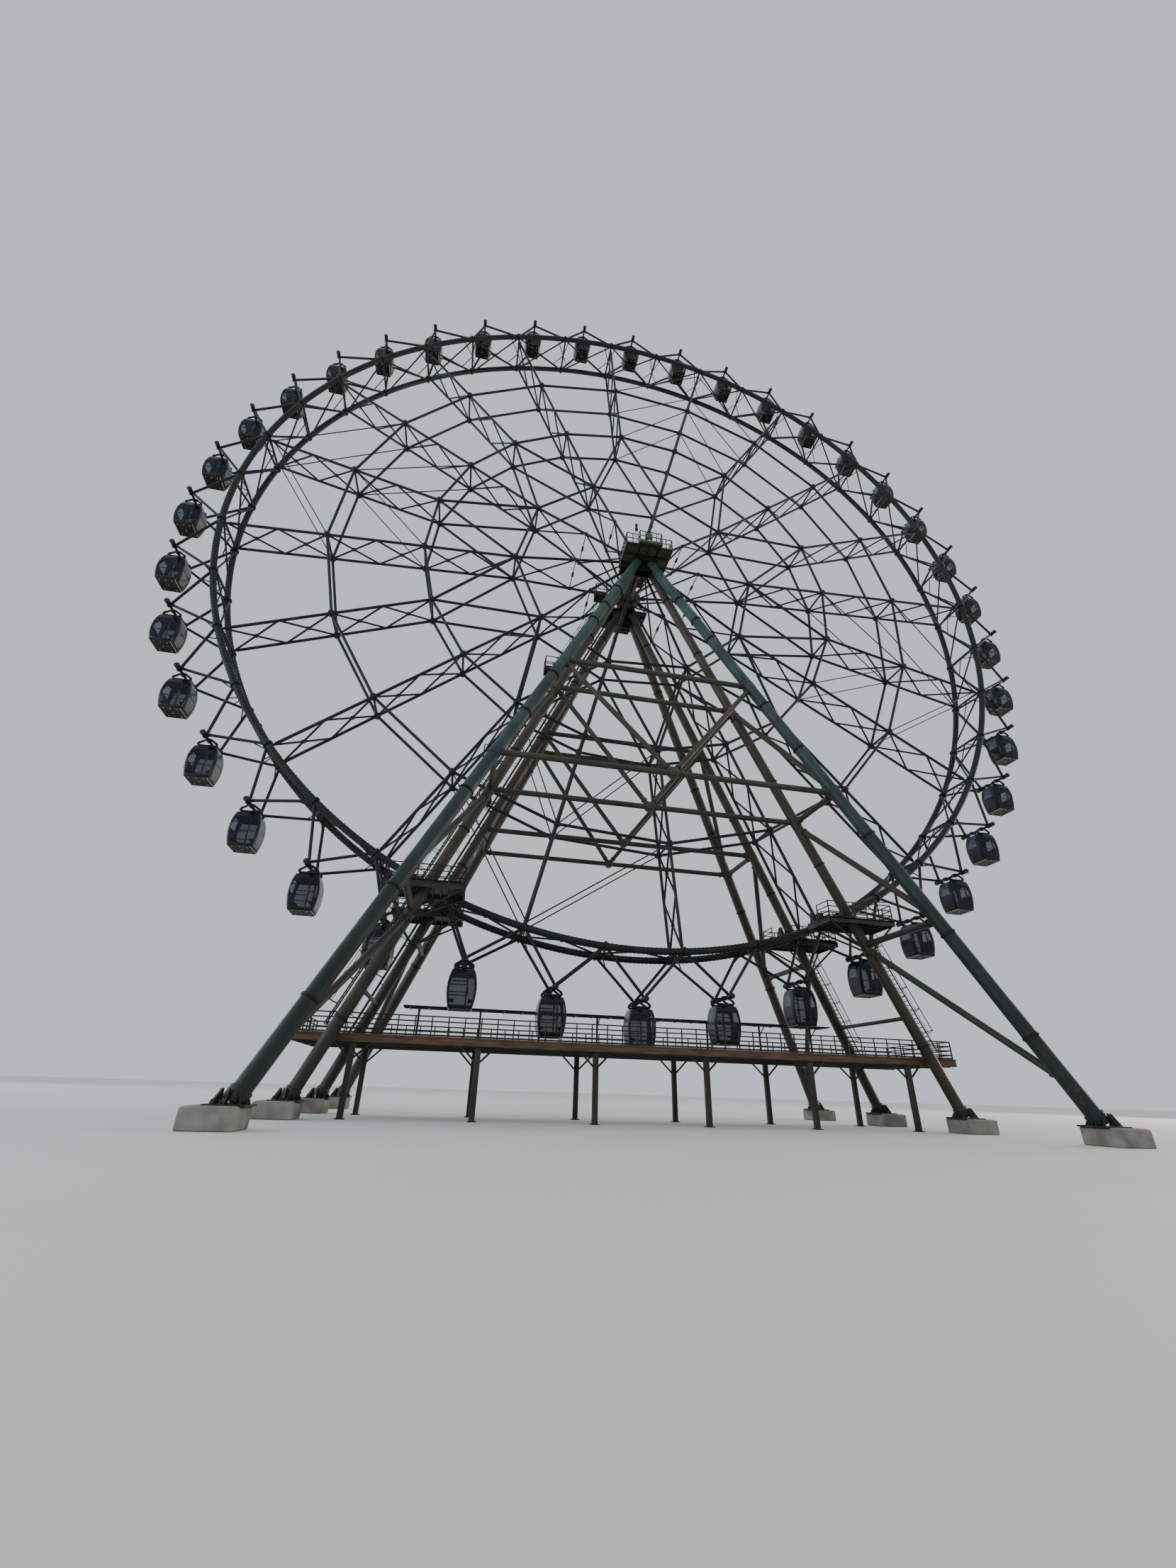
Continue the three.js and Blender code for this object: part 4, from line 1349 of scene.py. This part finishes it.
# Drive platforms, where tyres on motors press on the rim beside the inner legs
drive = {
    "level": -33.0,
    "thick": 0.14,
    "inner": 12.3,
    "outer": 17.3,
    "from": 2.1,
    "to": 4.9,
    "edge": 0.24,
    "beam": 0.1,
    "joists": 11,
    "railInset": 0.08,
    "gate": 1.3,
    "strutFoot": 2.2,
    "strutTube": 0.07,
    "headHalf": 0.55,
    "headY": (2.05, 3.2),
    "tyreY": 2.38,
    "tyreX": 0.27,
    "tyreLevels": (0.28, 0.66),
    "tyreSize": 0.9,
    "boxY": 2.9,
    "boxHalf": 0.22,
}
tyre = turnedEven("tyre", 24, [(0.05, 0.3), (0.085, 0.27), (0.1, 0.2), (0.1, 0.12)])
fins = [(0.3, 0.16), (0.3, 0.14), (0.36, 0.14), (0.36, 0.16), (0.42, 0.16), (0.42, 0.14)]
motor = turned("motor", 16, [(0.2, 0.12), (0.24, 0.16)] + fins + [(0.5, 0.14), (0.54, 0.1)])


def addDrive(group, left):
    near, top, under = group.near, drive["level"], drive["level"] - drive["thick"]
    start, end, foot, beam = drive["from"], drive["to"], under - drive["edge"], drive["beam"]
    low, high = sorted((left * drive["inner"], left * drive["outer"]))
    group.block("driveFloor", (low, high), (start, end), (under, top), 0.015)
    xs, ys, zs = (low + 0.05, low + 0.12), (start + 0.03, end - 0.03), (under - 0.14, under + sink)
    joist = group.block("joist", xs, ys, zs, 0.01)
    spread(joist, drive["joists"], (high - low - 0.17, 0, 0))
    for y in (start, end - beam):
        group.block("driveBeam", (low - 0.02, high + 0.02), (y, y + beam), (foot, top + 0.01), 0.015)
    for x in (low, high - beam):
        group.block("driveEnd", (x, x + beam), (start, end), (foot, top + 0.01), 0.015)
    inset = drive["railInset"]
    innerX, outerX = left * (drive["inner"] + inset), left * (drive["outer"] - inset)
    nearY, farY = near * (start + inset), near * (end - inset)
    headX, gateY = left * (drive["inner"] + 2 * drive["headHalf"] + 0.1), near * (start + drive["gate"])
    addRailing(group, [(innerX, farY, top), (outerX, farY, top), (outerX, nearY, top), (headX, nearY, top)])
    addRailing(group, [(innerX, farY, top), (innerX, gateY, top)])
    legSpot = onLeg(tower["inner"], left, near, top - drive["strutFoot"])
    for x in (innerX, outerX):
        for y in (nearY, farY):
            group.strut(plainStock, (x, y, under - 0.1), legSpot, drive["strutTube"])
    # the drive head: a sole with two pairs of tyres, a gearbox and a motor
    middleX, half, boxY = left * (drive["inner"] + drive["headHalf"]), drive["boxHalf"], drive["boxY"]
    group.block("headSole", span(middleX, drive["headHalf"]), drive["headY"], (top - 0.02, top + 0.1), 0.02)
    for level in drive["tyreLevels"]:
        for x in span(middleX, drive["tyreX"]):
            spot = (x, near * drive["tyreY"], top + level)
            group.place(tyre, spot, (1, 0, 0), drive["tyreSize"], rubber)
    group.block("gearbox", span(middleX, half), span(boxY, half), (top + 0.1, top + 0.72), 0.05)
    group.place(motor, (middleX, near * boxY, top + 0.4), (left, 0, 0))


# Boarding deck between the legs, and the pergola roof along its far side
deck = {
    "top": -41.72,
    "thick": 0.25,
    "halfX": 21.0,
    "halfY": 3.4,
    "planks": 60,
    "gap": 0.03,
    "beams": (-2.9, -1.0, 1.0, 2.9),
    "joists": 29,
    "posts": range(-5, 6, 2),
    "postX": 3.5,
    "post": 0.16,
    "postFoot": 0.26,
    "kneeFrom": 2.9,
    "kneeReach": 1.1,
    "kneeTube": 0.06,
    "bracket": 0.3,
    "railLevels": 4,
}


def addDeckFrame(group):
    top, under, halfX, halfY = deck["top"], deck["top"] - deck["thick"], deck["halfX"], deck["halfY"]
    skirt, seat = under - 0.18, under + sink
    group.block("deckBed", (-halfX, halfX), (-halfY, halfY), (under, top - 0.05), 0.02)
    pitch = 2 * halfX / deck["planks"]
    xs = (-halfX, -halfX + pitch - deck["gap"])
    plank = group.block("plank", xs, (-halfY, halfY), (top - 0.06, top), 0.012, boards)
    along(plank, deck["planks"], Vector((pitch, 0, 0)))
    for side in (-1, 1):
        ys = edgeBoard(side, halfY)
        group.block("fascia", span(0, halfX + boardOut), ys, (skirt, top - 0.07), 0.015, boards)
        ys = side * (halfY - 0.1), side * (halfY + 0.05)
        group.block("fasciaCap", span(0, halfX + 0.04), ys, (top - 0.07, top + 0.015), 0.01, boards)
    for side in (-1, 1):
        xs = edgeBoard(side, halfX)
        group.block("fasciaEnd", xs, (-halfY, halfY), (skirt, top + 0.01), 0.015, boards)
    for y in deck["beams"]:
        group.block("deckBeam", span(0, halfX - 0.1), span(y, 0.08), (under - 0.22, seat), 0.015)
    xs = (-halfX + 0.2, -halfX + 0.28)
    joist = group.block("deckJoist", xs, span(0, halfY - 0.1), (under - 0.12, seat), 0.01)
    spread(joist, deck["joists"], (2 * halfX - 0.48, 0, 0))


def addDeckPosts(group):
    under, half, foot = deck["top"] - deck["thick"], deck["post"], deck["postFoot"]
    for index in deck["posts"]:
        for side in (-1, 1):
            x, y = index * deck["postX"], side * (deck["halfY"] - 2 * half)
            group.block("deckPost", span(x, half), span(y, half), (-hubHeight, under), 0.03)
            group.block("postFoot", span(x, foot), span(y, foot), (-hubHeight, -hubHeight + 0.05), 0.012)
            for end in span(x, deck["kneeReach"]):
                knee = (x, y, -hubHeight + deck["kneeFrom"]), (end, y, under - 0.05)
                group.strut(plainStock, *knee, deck["kneeTube"])


def makeDeck():
    group = Group(machinePaint)
    top, under, halfX, halfY = deck["top"], deck["top"] - deck["thick"], deck["halfX"] - 0.1, deck["halfY"]
    addDeckFrame(group)
    addDeckPosts(group)
    # brackets to the inner legs
    for near in (-1, 1):
        for left in (-1, 1):
            spot = onLeg(tower["inner"], left, near, top - 0.1)
            ys = near * (halfY - 0.3), spot.y - near * 0.32
            group.block("deckBracket", span(spot.x, deck["bracket"]), ys, (under, top - 0.05), 0.02)
    for y in span(0, halfY - 0.08):
        addRailing(group, [(-halfX, y, top), (halfX, y, top)], levels=deck["railLevels"])
    for x in (-halfX, halfX):
        addRailing(group, [(x, y, top) for y in span(0, halfY - 0.1)], levels=deck["railLevels"])
    return group.join("boardingDeck")


canopy = {
    "top": -39.45,
    "thick": 0.14,
    "halfX": 15.5,
    "from": 2.0,
    "to": 3.4,
    "rails": 5,
    "railTube": 0.05,
    "crosses": 25,
    "posts": 8,
    "post": 0.09,
    "postTube": 0.075,
    "knee": 0.75,
    "kneeTube": 0.04,
    "foot": 0.16,
}


def makeCanopy():
    group = Group(railPaint)
    top, halfX, low, high = (canopy[name] for name in ("top", "halfX", "from", "to"))
    for index in range(canopy["rails"]):
        y = low + 0.06 + (high - low - 0.12) * index / (canopy["rails"] - 1)
        ends = [(x, y, top - 0.05) for x in (-halfX, halfX)]
        group.strut(plainStock, *ends, canopy["railTube"])
    xs, zs = (-halfX + 0.4, -halfX + 0.48), (top - canopy["thick"], top - 0.03)
    cross = group.block("canopyCross", xs, (low, high), zs, 0.012)
    spread(cross, canopy["crosses"], (2 * halfX - 0.88, 0, 0))
    y, floor, foot = high - 2 * canopy["post"], deck["top"], canopy["foot"]
    for index in range(canopy["posts"]):
        x = (halfX - 1) * (2 * index / (canopy["posts"] - 1) - 1)
        group.strut(plainStock, (x, y, floor + 0.01), (x, y, top - 0.08), canopy["postTube"])
        group.strut(plainStock, (x, y, top - canopy["knee"]), (x, low + 0.3, top - 0.12), canopy["kneeTube"])
        group.block("canopyFoot", span(x, foot), span(y, foot), (floor + 0.004, floor + 0.03), 0.006)
    return group.join("boardingPergola")


# the near outer legs take the painted-shade copy of the tower paint, and the far outer legs, all the inner
# legs, beams and braces take the painted-sunlit copy
for near, word, outerPaint in ((-1, "near", shadedTowerPaint), (1, "far", sunlitTowerPaint)):
    outer, inner = Group(outerPaint, near), Group(sunlitTowerPaint, near)
    floor, housing = Group(floorPaint, near), Group(machinePaint, near)
    addLegFrame(outer, tower["outer"])
    addSideBraces(outer)
    deliver(outer.join(word + "OuterLegs"), "tower", "tower_paint", word + "_outer_frame")
    addLegFrame(inner, tower["inner"])
    if near < 0:
        addLowTies(inner)
    deliver(inner.join(word + "InnerLegs"), "tower", "tower_paint", word + "_inner_frame")
    addHubPlatform(floor)
    deliver(floor.join(word + "HubPlatform"), "tower", "tower_paint", word + "_hub_platform")
    addBearing(housing)
    deliver(housing.join(word + "BearingHousing"), "tower", "machinery", word + "_bearing")
    for left, hand in ((-1, "Left"), (1, "Right")):
        head = Group(machinePaint, near)
        addDrive(head, left)
        deliver(head.join(word + hand + "Drive"), "tower", "machinery", f"{word}_{hand.lower()}_drive")
print("tower done")

ladders = Group(railPaint)
for near in (-1, 1):
    addLadder(ladders, -1, near, ladder["to"])
    addLadder(ladders, 1, near, drive["level"])
    ladders.near = near
    for level in landing["levels"]:
        addLanding(ladders, -1, level)
deliver(ladders.join("legLadders"), "tower", "tower_paint")
deliver(makeDeck(), "tower", "deck_boards", "boarding_deck")
deliver(makeCanopy(), "tower", "tower_paint", "boarding_canopy")
print("station done")

for pattern in patterns.parts:
    bpy.data.objects.remove(pattern)

# Floor, soft light and the pale surroundings
studio = {
    "floor": ((222, 220, 215), (228, 226, 222)),
    "world": (0.74, 0.8, 0.86, 1.0),
    "worldStrength": 0.9,
    "aim": (0, 0, 4),
    "lightSize": 8,
    "lights": {  # the place, the power and the tint of each
        "keyLight": ((-16, -7, 5), 700, (0.96, 0.98, 1.0)),
        "warmFill": ((15, 3, 3.5), 1300, (1.0, 0.88, 0.76)),
        "coolFill": ((-14, 8, 8), 500, (0.8, 0.9, 1.0)),
    },
}


def addStudio():
    bpy.ops.object.select_all(action="DESELECT")
    bpy.ops.mesh.primitive_plane_add(size=160)
    floor = bpy.context.object
    floor.name = "floor"
    made, place = startMaterial("floor")
    tone, otherTone = (shade(*colour) for colour in studio["floor"])
    mottle = place.noise(0.6, 3.0).ramp(0.3, 0.7)
    painted(floor, wired(made, {"Base Color": mottle.between(tone, otherTone), "Roughness": 0.8}))
    world = bpy.data.worlds.new("studio")
    world.use_nodes = True
    background = world.node_tree.nodes["Background"]
    background.inputs["Color"].default_value = studio["world"]
    background.inputs["Strength"].default_value = studio["worldStrength"]
    bpy.context.scene.world = world
    for name, (spot, power, tint) in studio["lights"].items():
        light = bpy.data.lights.new(name, "AREA")
        light.energy = power
        light.size = studio["lightSize"]
        light.color = tint
        lamp = bpy.data.objects.new(name, light)
        lamp.location = spot
        lamp.rotation_euler = (Vector(studio["aim"]) - Vector(spot)).to_track_quat("-Z", "Y").to_euler()
        bpy.context.scene.collection.objects.link(lamp)


addStudio()
print("studio done")
